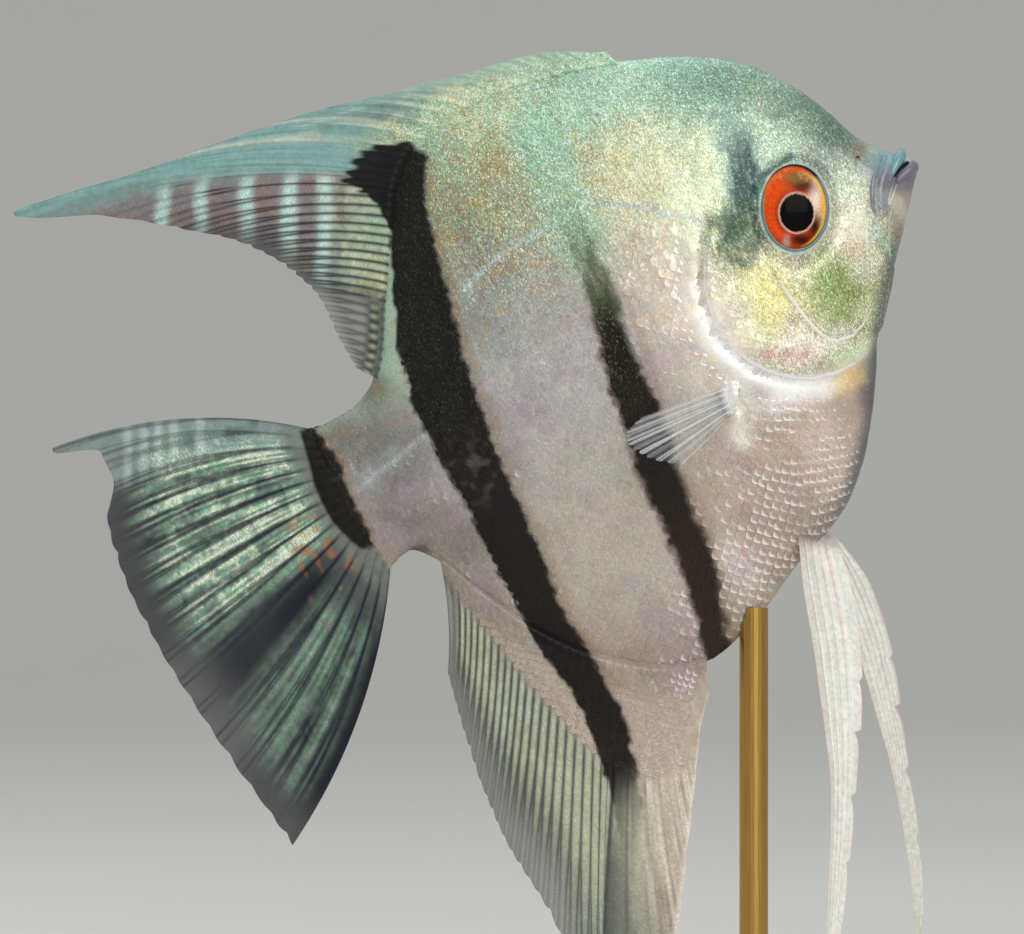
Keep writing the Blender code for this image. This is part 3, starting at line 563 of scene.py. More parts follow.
def markings(s, h, seed=0):
    """The skin's colour at points of the side view, and how much it glitters. The
    seed shifts the finest streaks, so that the two sides of the fish differ."""
    tall = np.maximum(back(s) - belly(s), 6.0)
    share = np.clip((h - belly(s)) / tall, -0.3, 1.3)
    colour = flank(share)
    for *place_and_reach, code, strength in PATCHES:
        away = from_place(s, h, *place_and_reach)
        colour = over(colour, code, strength * np.exp(-away ** PATCH_EDGE))
    glitter = 0.25 + 0.75 * ease(h, 2, 20) * fall(s, 56, 72)
    glitter = np.maximum(glitter, fall(s, 29, 35) * ease(h, -20, -16))
    # Gold streaks and faint violet and blue lights of the reflecting cells.
    streak = noise(s * 0.6 + h * 0.30, h - s * 0.35, 1.5, 11 + seed)
    colour = over(colour, "#c8a85e", 0.24 * ease(streak, 0.15, 0.9) * ease(h, -2, 14)
                  * ease(s, 22, 36))
    dash = noise(s * 1.7, h * 0.45, 0.62, 25 + seed)
    upper = ease(h, -4, 12)
    colour = lay(colour, (
        ("#b48a4c", 0.30 * ease(dash, 0.15, 0.8) * upper * ease(s, 24, 40)),
        ("#7fae98", 0.24 * fall(dash, -0.8, -0.2) * upper * ease(s, 20, 34))))
    lively = np.exp(-from_place(s, h, 39.0, -2.0, 6.5, 12.0))
    colour = lay(colour, (
        ("#ecd47c", 0.40 * lively * ease(streak, 0.1, 0.8)),
        ("#e6b4ae", 0.36 * lively * fall(streak, -0.8, -0.1))))
    fine = noise(s * 2.6, h * 0.55, 0.62, 27 + seed)
    colour = over(colour, "#8d7775", 0.30 * ease(fine, 0.2, 0.9) * ease(h, -14, 2)
                  * fall(h, 24, 34) * ease(s, 38, 46) * fall(s, 68, 74))
    colour = colour * (1 - 0.10 * ease(dash, 0.0, 0.7))[..., None]
    violet = noise(s, h, 5.2, 12) + 0.6 * noise(s, h, 2.3, 13)
    colour = lay(colour, (
        ("#a592a6", 0.36 * ease(violet, 0.15, 1.2) * fall(h, -4, 12)),
        ("#a3b0ad", 0.30 * fall(violet, -1.2, -0.2) * ease(s, 40, 56))))
    uneven = 1 + 0.07 * noise(s, h, 3.1, 14) + 0.05 * noise(s, h, 0.9, 15)
    colour = colour * uneven[..., None]

    for line, code, strength in ((lateral_line, "#bcc8d2", 0.95),
                                 (tail_line, "#b9bec2", 0.60)):
        away, along = from_line(s, h, line)
        colour = over(colour, code, strength * bell(away, 0.40)
                      * (0.75 + 0.25 * noise(s, h, 0.8, 20))
                      * ease(along, 0.0, 0.02) * ease(1 - along, 0.0, 0.02))

    # Eye bar: teal above, broken green and black behind the eye.
    wobble = 0.5 * noise(s, h, 1.4, 17)
    strands = noise(s * 1.6 + h * 0.5, h * 0.4, 0.7, 30)
    away = np.abs(s - eye_bar(h) - 0.3 + wobble) + 0.5 * strands
    colour = lay(colour, (
        ("#6f9f9a", 0.80 * fall(away, 1.4, 4.6) * ease(h, 4.0, 8.0)
         * fall(h, 15.0, 26.0)),
        ("#123b3f", 0.93 * fall(away, 0.9, 3.4) * ease(h, 1.0, 5.0) * fall(h, 12.0, 21.0)
         * (1 - 0.25 * ease(strands, 0.1, 0.8)))))
    patch = from_place(s, h, 26.1, 3.7, 4.6, 5.2) + wobble * 0.6 + 0.30 * strands
    grain = 0.6 * noise(s, h, 0.30, 29) + 0.6 * noise(s, h, 0.9, 28)
    colour = lay(colour, (
        ("#284a34", 0.88 * fall(patch, 0.35, 1.35) * (1 - 0.45 * ease(grain, 0.1, 0.8))),
        ("#8f9a4c", 0.40 * fall(patch, 0.8, 1.4) * ease(grain, 0.3, 0.9)
         * ease(s, 22.5, 24.5))))
    streak_away, along = from_line(s, h, np.array(((18.9, 9.4), (14.4, 9.9))))
    colour = over(colour, "#2b4c50", 0.80 * fall(np.abs(streak_away), 0.15, 0.8))

    # Second bar: olive and glittering above, brown-black below with soft edges.
    wobble = 0.45 * noise(s, h, 1.6, 18) + 0.22 * noise(s, h, 0.75, 19)
    ahead = s - second_bar(h) + wobble
    half = 2.25 + 0.55 * fall(h, -8, 6) - 0.45 * fall(h, -24, -16) - 0.45 * fall(h, -44, -30)
    low, top = fall(h, 0.0, 10.0), fall(h, 10, 22)
    cover = (ease(ahead + half - 0.9 * ease(h, -12, 0), -0.9, 0.7)
             * ease(half - ahead, -0.25, 0.45))
    dashes = noise(s * 1.5, h * 0.42, 0.62, 26)
    colour = over(colour, "#9ccab4", 0.55 * ease(half + 1.4 - np.abs(ahead), -1.8, 1.4)
                  * ease(h, 5, 15) * fall(h, 27, 37))
    cover = cover * (1 - (0.18 + 0.5 * ease(dashes, -0.2, 0.6)) * ease(h, 2, 15))
    colour = over(colour, "#3c4c2a", cover * top * 0.92)
    fringe = ease(ahead + half, -2.6, -0.2) * fall(ahead + half, -0.9, 0.5)
    colour = lay(colour, (
        ("#8a6a42", 0.42 * fringe * low),
        ("#6b5553", 0.8 * ease(half + 0.55 - ahead, -0.1, 0.4) * ease(ahead - half, -0.7, -0.1)
         * low)))
    fade = 1 - 0.15 * fall(h, -46, -38)
    colour = lay(colour, (
        ("#1d1613", cover * low * 0.97 * fade),
        ("#35271f", 0.6 * cover * fall(h, -34, -22))))

    # Third bar, from the dorsal fin down into the anal fin.
    cover, front = third_bar_at(s, h)
    fringe = ease(front, -2.0, -0.1) * fall(front, -0.6, 0.6) * fall(h, 30, 36)
    colour = lay(colour, (
        ("#86663f", 0.55 * fringe * ease(h, -70, -56)),
        ("#131010", cover * 0.985)))
    worn = (ease(noise(s, h, 1.1, 23), 0.2, 0.9)
            * np.exp(-from_place(s, h, 73.8, -7.0, 3.4, 3.8)))
    colour = over(colour, "#5a5654", 0.7 * worn * cover)

    # Tail bar at the end of the stalk, and one small spot under it.
    wobble = 0.35 * noise(s, h, 1.2, 24)
    front, rear = s - tail_front(h) + wobble, tail_rear(h) - s + wobble
    inside = ease(h, -9.8, -8.6) * fall(h, 9.2, 10.2)
    colour = lay(colour, (
        ("#8a6840", 0.6 * ease(front, -1.1, 0) * fall(front, -0.3, 0.7) * inside),
        ("#15110f", 0.97 * inside * ease(front, -0.2, 0.4) * ease(rear, -0.25, 0.3))))
    spot = from_place(s, h, 92.4, -12.6, 0.8, 1.4)
    colour = over(colour, "#4a382b", 0.7 * fall(spot, 0.4, 1.3))

    # Painted highlight: a bright white gleam on the skin just behind the gill cover's rear
    # edge, then a pale line along the edge itself.
    behind, along = from_line(s, h, margin_line)
    gleam = (ease(behind, -0.7, 0.1) * fall(behind, 0.9, 3.4)
             * ease(along, 0.24, 0.38) * fall(along, 0.62, 0.80))
    colour = over(colour, "#ffffff", 0.94 * gleam)
    edge = (bell(behind + 0.1, 0.42)
            * ease(along, 0.02, 0.2) * fall(along, 0.8, 0.98))
    colour = over(colour, "#e9e4e0", 0.45 * edge)

    # Rim of bare skin round the eye, and painted shade along the throat's front edge, where
    # the breast turns away from the light.
    away = eye_reach(s, h)
    ring = fall(away, 1.06, 1.17)
    colour = over(colour, "#6a8582", 0.80 * ring)
    throat = ease(belly(s) + 4.0 - h, 0.0, 3.2) * fall(s, 30, 40) * ease(s, 3, 9)
    colour = over(colour, "#4d5158", 0.82 * throat)
    glitter = glitter * (0.15 + 0.85 * ease(s + 0.3 * np.abs(h), 5.0, 9.5))
    dark = np.sum(colour, axis=-1) < 0.12
    shown = np.maximum((0.06 + 0.84 * ease(h, -16, 6)) * (1 - 0.7 * ease(s, 54, 60)),
                       fall(s, 29, 35))
    glitter = glitter * (1 - 0.40 * ease(np.sum(colour, axis=-1), 1.7, 2.5))
    glitter = np.where(dark, shown, glitter) * (1 - 0.9 * ring)
    return np.clip(colour, 0.004, 0.95), np.clip(glitter, 0, 1)


def paint(obj, colour, amount, layer_name="paint"):
    """Stores a colour at each point, with a second value in its alpha."""
    values = np.concatenate([colour, np.asarray(amount)[:, None]], 1).astype(np.float32)
    layer = obj.data.color_attributes.new(layer_name, "FLOAT_COLOR", "POINT")
    layer.data.foreach_set("color", values.ravel())


# Wet living skin: a clear slime coat over guanine cells that flash like foil in gold,
# mint, rose and white. The flashes are drawn 0.11 by 0.27 mm, upright like the free
# edges of the scales: somewhat coarser than real cells, so that they show.
FLASH_LONG, FLASH_TALL = 0.11, 0.27
CELL_GAIN = (2.36, 2.36, 2.50)
BRIGHTEST = (0.95, 0.95, 0.95)      # no skin throws back more light than this
SLIME_LUMPS = 0.9                   # to each millimetre


def flashes(tree, where):
    """The colour of the reflecting cells at each place, about 0.43 on average."""
    laid = add(tree, "Mapping", {"Vector": where, "Rotation": (0.0, -PITCH, 0.0),
                                 "Scale": (FLASH_LONG * MM, FLASH_LONG * MM,
                                           FLASH_TALL * MM)}, vector_type="TEXTURE")
    cells = add(tree, "TexVoronoi", {"Vector": laid.outputs["Vector"], "Scale": 1.0},
                feature="F1")
    parts = add(tree, "SeparateColor", {"Color": cells.outputs["Color"]})
    flash = add(tree, "ValToRGB", {"Fac": parts.outputs["Red"]},
                stops=((0.0, "#8a8a8a"), (0.42, "#b0b0b0"), (0.80, "#cfcfcf"),
                       (0.95, "#f8f8f8")))
    hue = add(tree, "ValToRGB", {"Fac": parts.outputs["Green"]},
              stops=((0.0, "#fff3c4"), (0.28, "#daffe9"), (0.50, "#fffef8"),
                     (0.70, "#ffe2d8"), (0.86, "#d4f0ff"), (1.0, "#fff0c0")))
    return add(tree, "VectorMath", {0: flash.outputs["Color"], 1: hue.outputs["Color"]},
               operation="MULTIPLY").outputs["Vector"]


def vary_roughness(tree, shader, value, low, high, span=(0.0, 1.0)):
    """Lets the roughness run from low to high as a pattern's value crosses the span."""
    gloss = add(tree, "MapRange", {"Value": value, "From Min": span[0],
                                   "From Max": span[1], "To Min": low, "To Max": high})
    tree.links.new(gloss.outputs["Result"], shader.inputs["Roughness"])


def dull_where_black(tree, shader, pigment, slime):
    """Black pigment cells lie over the silver ones and take their shine away."""
    light = add(tree, "RGBToBW", {"Color": pigment.outputs["Color"]})
    for socket, least, most in (("Coat Weight", 0.10 * slime, slime),
                                ("Specular IOR Level", 0.14, 0.5)):
        shine = add(tree, "MapRange", {"Value": light.outputs["Val"], "From Min": 0.02,
                                       "From Max": 0.16, "To Min": least, "To Max": most})
        tree.links.new(shine.outputs["Result"], shader.inputs[socket])


def wet_skin(name, metallic, roughness, slime, relief):
    """Painted skin over reflecting cells, under a coat of slime, with fine dents."""
    material, tree, shader = finish_of(name)
    pigment = add(tree, "VertexColor", layer_name="paint")
    where = add(tree, "TexCoord").outputs["Object"]
    cells = flashes(tree, where)
    bright = add(tree, "Mix", {0: pigment.outputs["Alpha"], 6: linear("#b6b6b6"),
                               7: cells}, data_type="RGBA")
    # The cells are 0.43 bright on average, so this gain keeps the markings' brightness.
    doubled = add(tree, "VectorMath", {0: bright.outputs[2], 1: CELL_GAIN},
                  operation="MULTIPLY")
    product = add(tree, "VectorMath", {0: pigment.outputs["Color"],
                                       1: doubled.outputs["Vector"]},
                  operation="MULTIPLY")
    # The brightest cells shine even through black pigment, as gold-green points.
    level = add(tree, "RGBToBW", {"Color": cells})
    peak = add(tree, "MapRange", {"Value": level.outputs["Val"], "From Min": 0.66,
                                  "From Max": 1.0, "To Min": 0.0, "To Max": 0.30})
    shown = add(tree, "Math", {0: peak.outputs["Result"], 1: pigment.outputs["Alpha"]},
                operation="MULTIPLY")
    gold = add(tree, "VectorMath", {0: shown.outputs["Value"], 1: (0.80, 0.88, 0.50)},
               operation="MULTIPLY")
    summed = add(tree, "VectorMath", {0: product.outputs["Vector"],
                                      1: gold.outputs["Vector"]}, operation="ADD")
    colour = add(tree, "VectorMath", {0: summed.outputs["Vector"], 1: BRIGHTEST},
                 operation="MINIMUM")
    tree.links.new(colour.outputs["Vector"], shader.inputs["Base Color"])
    film = add(tree, "TexNoise", {"Vector": where, "Scale": SLIME_LUMPS / MM,
                                  "Detail": 3.0})
    vary_roughness(tree, shader, film.outputs["Fac"], roughness - 0.08, roughness + 0.10,
                   (0.3, 0.7))
    dull_where_black(tree, shader, pigment, slime)
    dents = add(tree, "Bump", {"Height": film.outputs["Fac"], "Strength": relief,
                               "Distance": 0.00012})
    tree.links.new(dents.outputs["Normal"], shader.inputs["Normal"])
    shader.inputs["Metallic"].default_value = metallic
    shader.inputs["Coat Roughness"].default_value = 0.12
    return material


# Wet skin: a soft gleam on the curves, and a fine glitter that follows the markings.
skin_finish = wet_skin("wet_skin_with_silver_cells", 0.12, 0.34, 0.35, 0.35)

# The half skin and its mirror image share the points of the two ridges.
right_half = half_skin[:, 1:-1] * np.array([1, 1, -1.0])
rings = np.concatenate([half_skin, right_half[:, ::-1]], 1)
per_ring = rings.shape[1]
skin_points = [rings.reshape(-1, 3)]
skin_faces = [quads_of(len(stations), per_ring, closed=True)]
skin_caps = [np.arange(per_ring)[None, ::-1],
             np.arange(per_ring)[None] + (len(stations) - 1) * per_ring]
tint, shine = markings(rings[..., 0].ravel(), rings[..., 1].ravel())
skin_paint, skin_shine = [tint], [shine]


# How white the gill membrane and the cheek's ridge are, from one end to the other. The
# membrane's white is partly its own and partly a painted highlight, strongest at its lower
# rear bend.
MEMBRANE_WHITE = ((0, 0.0), (0.10, 0.25), (0.24, 0.45), (0.36, 1.0), (0.66, 1.0),
                  (0.78, 0.6), (0.9, 0.35), (1, 0.0))
CHEEK_WHITE = ((0, 0.0), (0.12, 0.4), (0.3, 1.0), (0.6, 0.9), (0.78, 0.6), (1, 0.3))
NOSTRIL_S, NOSTRIL_H = 6.24, 5.4
LID = (4.50, 5.76)            # half width and half height of its ring


def ridge_strip(line, widths, heights, side, code, weights=1.0, sink=0.12, turns=7):
    """A rounded ridge of skin along a line of (s, h) points: a half ellipse swept over the
    surface, as wide and tall as given at each point. "weights" tells how far its colour covers
    the markings. Adds it to the skin."""
    line = np.asarray(line, float)
    share = share_at(line[:, 0], line[:, 1])
    centre = on_skin(line[:, 0], share, np.full(len(line), side))
    lifted = on_skin(line[:, 0], share, np.full(len(line), side), np.ones(len(line)))
    normal = lifted - centre
    along = np.gradient(centre, axis=0)
    along /= np.linalg.norm(along, axis=1, keepdims=True)
    across = np.cross(normal, along)
    angle = np.linspace(0, math.pi, turns)
    widths, heights = np.broadcast_to(widths, len(line)), np.broadcast_to(heights, len(line))
    ring = (centre[:, None] + across[:, None] * (np.cos(angle) * widths[:, None])[..., None]
            + normal[:, None] * (np.sin(angle) * heights[:, None] - sink)[..., None])
    sweep_in(ring, code, weights)


def sweep_in(ring, code, weights=1.0):
    """Adds a grid of points to the skin as a closed tube, in one colour laid over
    the skin's markings by its weight along the tube."""
    start = sum(len(p) for p in skin_points)
    rows, columns = ring.shape[:2]
    skin_points.append(ring.reshape(-1, 3))
    skin_faces.append(quads_of(rows, columns, closed=True, start=start))
    skin_caps.append(start + np.arange(columns)[None, ::-1])
    skin_caps.append(start + (rows - 1) * columns + np.arange(columns)[None])
    s, h = ring[..., 0].ravel(), ring[..., 1].ravel()
    weight = np.repeat(np.broadcast_to(weights, rows), columns)
    below, glitter = markings(s, h)
    colour = over(below, code, weight)
    colour *= (1 + 0.10 * noise(s, h, 0.9, 31) + 0.08 * noise(s, h, 0.4, 32))[:, None]
    skin_paint.append(colour)
    skin_shine.append(glitter * (1 - 0.8 * weight))


def swelling(count, ends=0.15):
    """1 along most of a strip, falling to nothing at both ends."""
    k = np.linspace(0, 1, count)
    return np.sqrt(ease(k, 0, ends) * ease(1 - k, 0, ends)) + 1e-3


for side in (1, -1):
    # Gill membrane: a white roll of thin skin that shuts the gill cover's rear edge, its
    # brightest white partly a painted highlight.
    swell = swelling(len(margin_line), 0.25)
    ridge_strip(margin_line, 0.50 * swell, 0.20 * swell, side, "#fbf8f6",
                through(MEMBRANE_WHITE)(np.linspace(0, 1, len(margin_line))))
    # Bony edge of the cheek plate.
    swell = swelling(len(cheek_line), 0.3)
    ridge_strip(cheek_line, 0.38 * swell, 0.18 * swell, side, "#fbf6ec",
                through(CHEEK_WHITE)(np.linspace(0, 1, len(cheek_line))))
    # Upper jawbone under its fold of skin, from the lip to the corner of the mouth.
    swell = swelling(len(fold_line), 0.35)
    ridge_strip(fold_line + (0.45, 0.1), 0.42 * swell, 0.40 * swell, side, "#7b7f8b")
    jaw = smooth_line(((4.4, -1.9), (6.6, -4.6), (8.4, -7.9), (9.6, -11.0)), 40)
    swell = swelling(len(jaw), 0.4)
    ridge_strip(jaw, 0.30 * swell, 0.20 * swell, side, "#b9bda2", 0.6)
    # Nostril: a small raised rim round a pit, its darkness painted shade inside the opening.
    turn = np.linspace(0, 2 * math.pi, 21)
    rim = np.column_stack([NOSTRIL_S + 0.36 * np.cos(turn),
                           NOSTRIL_H + 0.30 * np.sin(turn)])
    ridge_strip(rim, 0.13, 0.14, side, "#8b7768", 1.0, 0.05)
    pit = np.column_stack([np.linspace(5.98, 6.50, 7), np.full(7, NOSTRIL_H)])
    ridge_strip(pit, 0.20 * swelling(7, 0.4), 0.06, side, "#1c1512", 1.0, 0.02)
    # Lid: the rim of clear skin that holds the eyeball, oval like its opening.
    turn = np.linspace(0, 2 * math.pi, 97)
    forward, upright = LID[0] * np.cos(turn), LID[1] * np.sin(turn)
    rim = np.column_stack([
        EYE_S - forward * math.cos(PITCH) - upright * math.sin(PITCH),
        EYE_H - forward * math.sin(PITCH) + upright * math.cos(PITCH)])
    base = share_at(rim[:, 0], rim[:, 1])
    plain = np.interp(rim[:, 0], stations, np.arange(len(stations))).round().astype(int)
    level = np.array([flesh[i, int(round(j * HALF_RING)), 2] for i, j in zip(plain, base)])
    tube = np.linspace(0, 2 * math.pi, 10, endpoint=False)
    outwards = rim - (EYE_S, EYE_H)
    outwards /= np.linalg.norm(outwards, axis=1, keepdims=True)
    ring = np.concatenate([
        rim[:, None] + outwards[:, None] * (0.20 * np.cos(tube))[None, :, None],
        np.zeros((len(rim), len(tube), 1))], 2)
    ring[..., 2] = side * (level[:, None] - 0.04 + 0.16 * np.sin(tube)[None])
    sweep_in(ring, "#5c7371", 0.90)


def mouth_roll(route, thick, tall, code):
    """A soft roll swept round the snout from one corner of the mouth to the other: a lip, or
    the dark roll of painted shade in the slit between the lips.
    """
    k = np.linspace(-1, 1, 49)
    path = through([(-t, s, h, -y) for t, s, h, y in route[:0:-1]] + list(route))(k)
    along = np.gradient(path, axis=0)
    along /= np.linalg.norm(along, axis=1, keepdims=True)
    up = np.array([-0.25, 1.0, 0.0]) / math.hypot(0.25, 1.0)
    out = np.cross(along, up)
    out /= np.linalg.norm(out, axis=1, keepdims=True)
    swell = 0.35 + 0.65 * np.sqrt(np.clip(1 - np.abs(k) ** 3, 0, 1))
    tube = np.linspace(0, 2 * math.pi, 14, endpoint=False)
    ring = (path[:, None] + out[:, None] * (thick * np.cos(tube) * swell[:, None])[..., None]
            + up * (tall * np.sin(tube) * swell[:, None])[..., None])
    sweep_in(ring, code)


mouth_roll(((0.0, 0.55, 2.75, 0.0), (0.35, 0.95, 2.55, 1.2), (0.7, 2.0, 2.0, 1.85),
     (1.0, 3.4, 1.1, 2.35)), 0.60, 0.95, "#6f979d")
mouth_roll(((0.0, -0.05, 0.45, 0.0), (0.35, 0.35, 0.40, 1.25), (0.7, 1.5, 0.25, 1.85),
     (1.0, 3.3, -0.2, 2.3)), 0.70, 0.90, "#6d6876")
# The dark roll in the slit between the lips is painted shade: the shadow inside the mouth.
mouth_roll(((0.0, 0.35, 1.50, 0.0), (0.35, 0.70, 1.42, 1.15), (0.7, 1.7, 1.15, 1.75),
     (1.0, 3.1, 0.55, 2.25)), 0.42, 0.24, "#171315")

skin_xyz = np.concatenate(skin_points)
skin = mesh_object("skin", world_of(skin_xyz), skin_faces + skin_caps, skin_finish)
paint(skin, np.concatenate(skin_paint), np.concatenate(skin_shine))
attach(skin, "root")
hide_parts("head", "lower_jaw", "gill_cover_left", "gill_cover_right", "trunk",
            "tail_stalk")


# ---- Scales ----
# Thin clear plates with a silver underside, each rooted in the skin and lying back
# over the next like a roof tile: largest on the flank and smallest on the cheek and
# gill cover. The snout, the rim of the eye and the jaws are bare.
PITCHES = ((8.0, 0.50), (13.0, 0.56), (20.0, 0.66), (28.0, 0.78), (37.0, 0.90),
           (60.0, 0.90), (72.0, 0.82), (84.0, 0.68), (94.0, 0.60))   # row spacing
COLUMN_PITCH = 1.95           # spacing along the body, in row spacings
SCALE_LONG, SCALE_HALF_WIDE = 3.05, 1.17   # in row spacings
SCALE_THICK = 0.055
MOST_PER_PIECE = 2000
MOST_ROWS = 75                # more than fit above or below the middle of the flank
PLOT = 0.003                  # side of each scale's plot on the unwrap
# Rows of one scale's upper face from its root, and columns from side to side.
ALONG = np.array((0.0, 0.30, 0.55, 0.76, 0.90, 1.0))
ACROSS = np.array((-1.0, -0.55, 0.0, 0.55, 1.0))

pitch_at = through(PITCHES)
# Clear scales over silver: a sharper, more metallic gleam than the bare skin has.
scale_finish = wet_skin("clear_silver_backed_scale", 0.22, 0.30, 0.45, 0.25)

# One scale: its grid seen from above, then the order of its rim.
a_grid, b_grid = np.meshgrid(ALONG, ACROSS, indexing="ij")
plate_wide = ((0.58 + 0.42 * np.sin(np.minimum(a_grid / 0.55, 1) * math.pi / 2))
              * (1 - 0.22 * np.clip((a_grid - 0.6) / 0.4, 0, 1) ** 2))
plate_x = a_grid - 0.28 * a_grid ** 3 * np.abs(b_grid) ** 1.8
plate_w = plate_wide * b_grid
plate_dome = -0.055 * b_grid ** 2 + 0.03 * np.sin(math.pi * a_grid)
plate_top = np.arange(a_grid.size).reshape(a_grid.shape)
plate_rim = np.concatenate([plate_top[0, :-1], plate_top[:-1, -1], plate_top[-1, :0:-1],
                            plate_top[:0:-1, 0]])
top_faces = quads_of(*a_grid.shape)
plate_below = a_grid.size + np.arange(len(plate_rim))
rim_faces = np.stack([plate_rim, np.roll(plate_rim, -1), np.roll(plate_below, -1),
                      plate_below], -1)


def scale_piece(name, top, below, colour, shine, plots):
    """One mesh of many scales. "top" holds the points of each upper face and "below"
    those under its rim; "plots" is the place of each on the skin's unwrap."""
    points = np.concatenate([top, below], 1)
    shift = (np.arange(len(top)) * points.shape[1])[:, None, None]
    groups = [(top_faces[None] + shift).reshape(-1, 4),
              (rim_faces[None, :, ::-1] + shift).reshape(-1, 4),
              (plate_below[None, None, ::-1] + shift).reshape(-1, len(plate_below))]
    obj = mesh_object(name, world_of(points.reshape(-1, 3)), groups, scale_finish)
    # The faces of one side of the fish come out turned inwards, and are turned round.
    here, along, across = (top[:, plate_top[place]] for place in ((2, 0), (3, 0), (2, 1)))
    signs = np.einsum("ij,ij->i", np.cross(along - here, across - here),
                      below[:, 5] - top[:, plate_rim[5]])
    if np.median(signs) < 0:
        obj.data.flip_normals()
    # Painted shade: the thin rim walls of each scale are a little darker than its face.
    shaded_rim_colour = colour[:, plate_rim] * 0.82
    paint(obj, np.concatenate([colour, shaded_rim_colour], 1).reshape(-1, 3),
          np.concatenate([shine, shine[:, plate_rim]], 1).ravel())
    spot = np.stack([a_grid - 0.5, 0.5 * b_grid], -1).reshape(-1, 2) * PLOT
    spot = np.concatenate([spot, spot[plate_rim]])
    place = (plots[:, None] + spot[None]).reshape(-1, 2)
    corners = np.empty(len(obj.data.loops), np.int32)
    obj.data.loops.foreach_get("vertex_index", corners)
    layer = obj.data.uv_layers.new(name="OFBake")
    layer.data.foreach_set("uv", place[corners].astype(np.float32).ravel())
    obj.data.set_sharp_from_angle(angle=math.radians(50))
    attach(obj, "root")
    return obj


def unwrapped(s, share, side):
    """A place on the skin's unwrap: along the body, and down each side in turn."""
    across = np.where(side > 0, 0.02 + 0.45 * share, 0.53 + 0.45 * share)
    return np.stack([0.03 + 0.94 * np.clip(s, 0, 128) / 128, across], -1)


def bare(s, h):
    """Where no scale is rooted: snout, jaws, eye rim and the gill cover's edge."""
    away = eye_reach(s, h)
    behind, along = from_line(s, h, margin_line)
    edge = (behind > -0.55) & (behind < 1.0) & (along > 0.01) & (along < 0.99)
    cheek, along = from_line(s, h, cheek_line)
    ridge = (np.abs(cheek) < 0.45) & (along > 0.02) & (along < 0.98)
    snout = s + 0.25 * np.abs(h - 1.0) < 11.2
    throat = (s < 17) & (h < -13.5)
    return ((away < 1.34) | edge | ridge | snout | throat | (lobe_reach(s, h) < 0.95))


def glint_at(s, h):
    """How brightly the painted highlight on the scales' free edges flashes: most on breast and
    belly.
    """
    near = np.maximum(ease(belly(s) - h, -17, -7),
                      bell(h + 20.5, 3.6) * fall(s, 34, 42))
    breast = fall(h, -21, -15.5) * fall(s, 41, 50) * (0.30 + 0.70 * near)
    sheath = 0.45 * fall(h, -47, -42) * fall(s, 66, 76)
    keel = np.exp(-from_place(s, h, 50.0, -38.0, 6.0, 6.5))
    behind_gill = np.exp(-from_place(s, h, 36.5, -9.0, 2.2, 6.0))
    vent = np.exp(-from_place(s, h, 59.0, -45.0, 4.0, 5.0))
    return np.clip(0.05 + 0.80 * breast + 0.9 * keel + 0.4 * behind_gill + 0.7 * vent
                   + sheath, 0, 1)


def dressed(s, h, centre_s, centre_h, chance, seed):
    """Colours of scales whose points are (s, h): the skin's markings, stepped a little from
    scale to scale, with painted shade towards the root and a painted highlight on the free
    edge."""
    mixed_s = s * 0.8 + centre_s[:, None] * 0.2
    mixed_h = h * 0.8 + centre_h[:, None] * 0.2
    colour, shine = markings(mixed_s, mixed_h, seed)
    a, b = a_grid.ravel()[None], b_grid.ravel()[None]
    glint = glint_at(centre_s, centre_h)[:, None]
    head = fall(centre_s, 24, 32)[:, None] * ease(centre_h, -20, -17)[:, None]
    bold = (0.42 + 0.58 * np.clip(1.3 * glint, 0, 1)) * (1 - 0.6 * head)
    # Each scale's tone differs a little at random; painted shade darkens it towards the root,
    # under the scale in front, and lightens its free edge a little.
    shade = (1 + 0.14 * (chance[:, :1] - 0.5) * bold) * (1 - (0.20 - 0.24 * a) * bold)
    colour = colour * shade[..., None]
    luminous = np.clip(colour.sum(-1) * 1.2 - 0.12, 0, 1)
    # Painted highlight: a pale pink glint along the free edge, where it catches the light.
    edge = ease(a, 0.80, 0.97) * fall(b, 0.10, 0.95)
    swell = 0.5 + 0.5 * noise(centre_s, centre_h, 3.4, 36)
    power = (ease(0.5 * chance[:, 1] + 0.5 * swell, 0.75 - 0.7 * glint[:, 0],
                  1.2 - 0.75 * glint[:, 0]))[:, None]
    colour = over(colour, "#fff4f1", 0.92 * edge * power * luminous)
    # Painted shadow just inside the free edge, then random pink and green tints of single
    # scales.
    shadow = ease(a, 0.42, 0.66) * fall(a, 0.72, 0.92) * glint
    colour = lay(colour, (
        ("#8a6c66", 0.30 * shadow * luminous),
        ("#c79aa8", (0.22 * ease(chance[:, 2], 0.72, 1.0))[:, None] * luminous),
        ("#9dc0a6", (0.20 * fall(chance[:, 2], 0.0, 0.22))[:, None] * luminous)))
    stripe = 0.5 + 0.5 * np.cos(b * 3 * math.pi)
    colour = colour * (1 - 0.07 * stripe * (1 - glint) * ease(a, 0.4, 0.7))[..., None]
    return np.clip(colour, 0.003, 0.96), shine


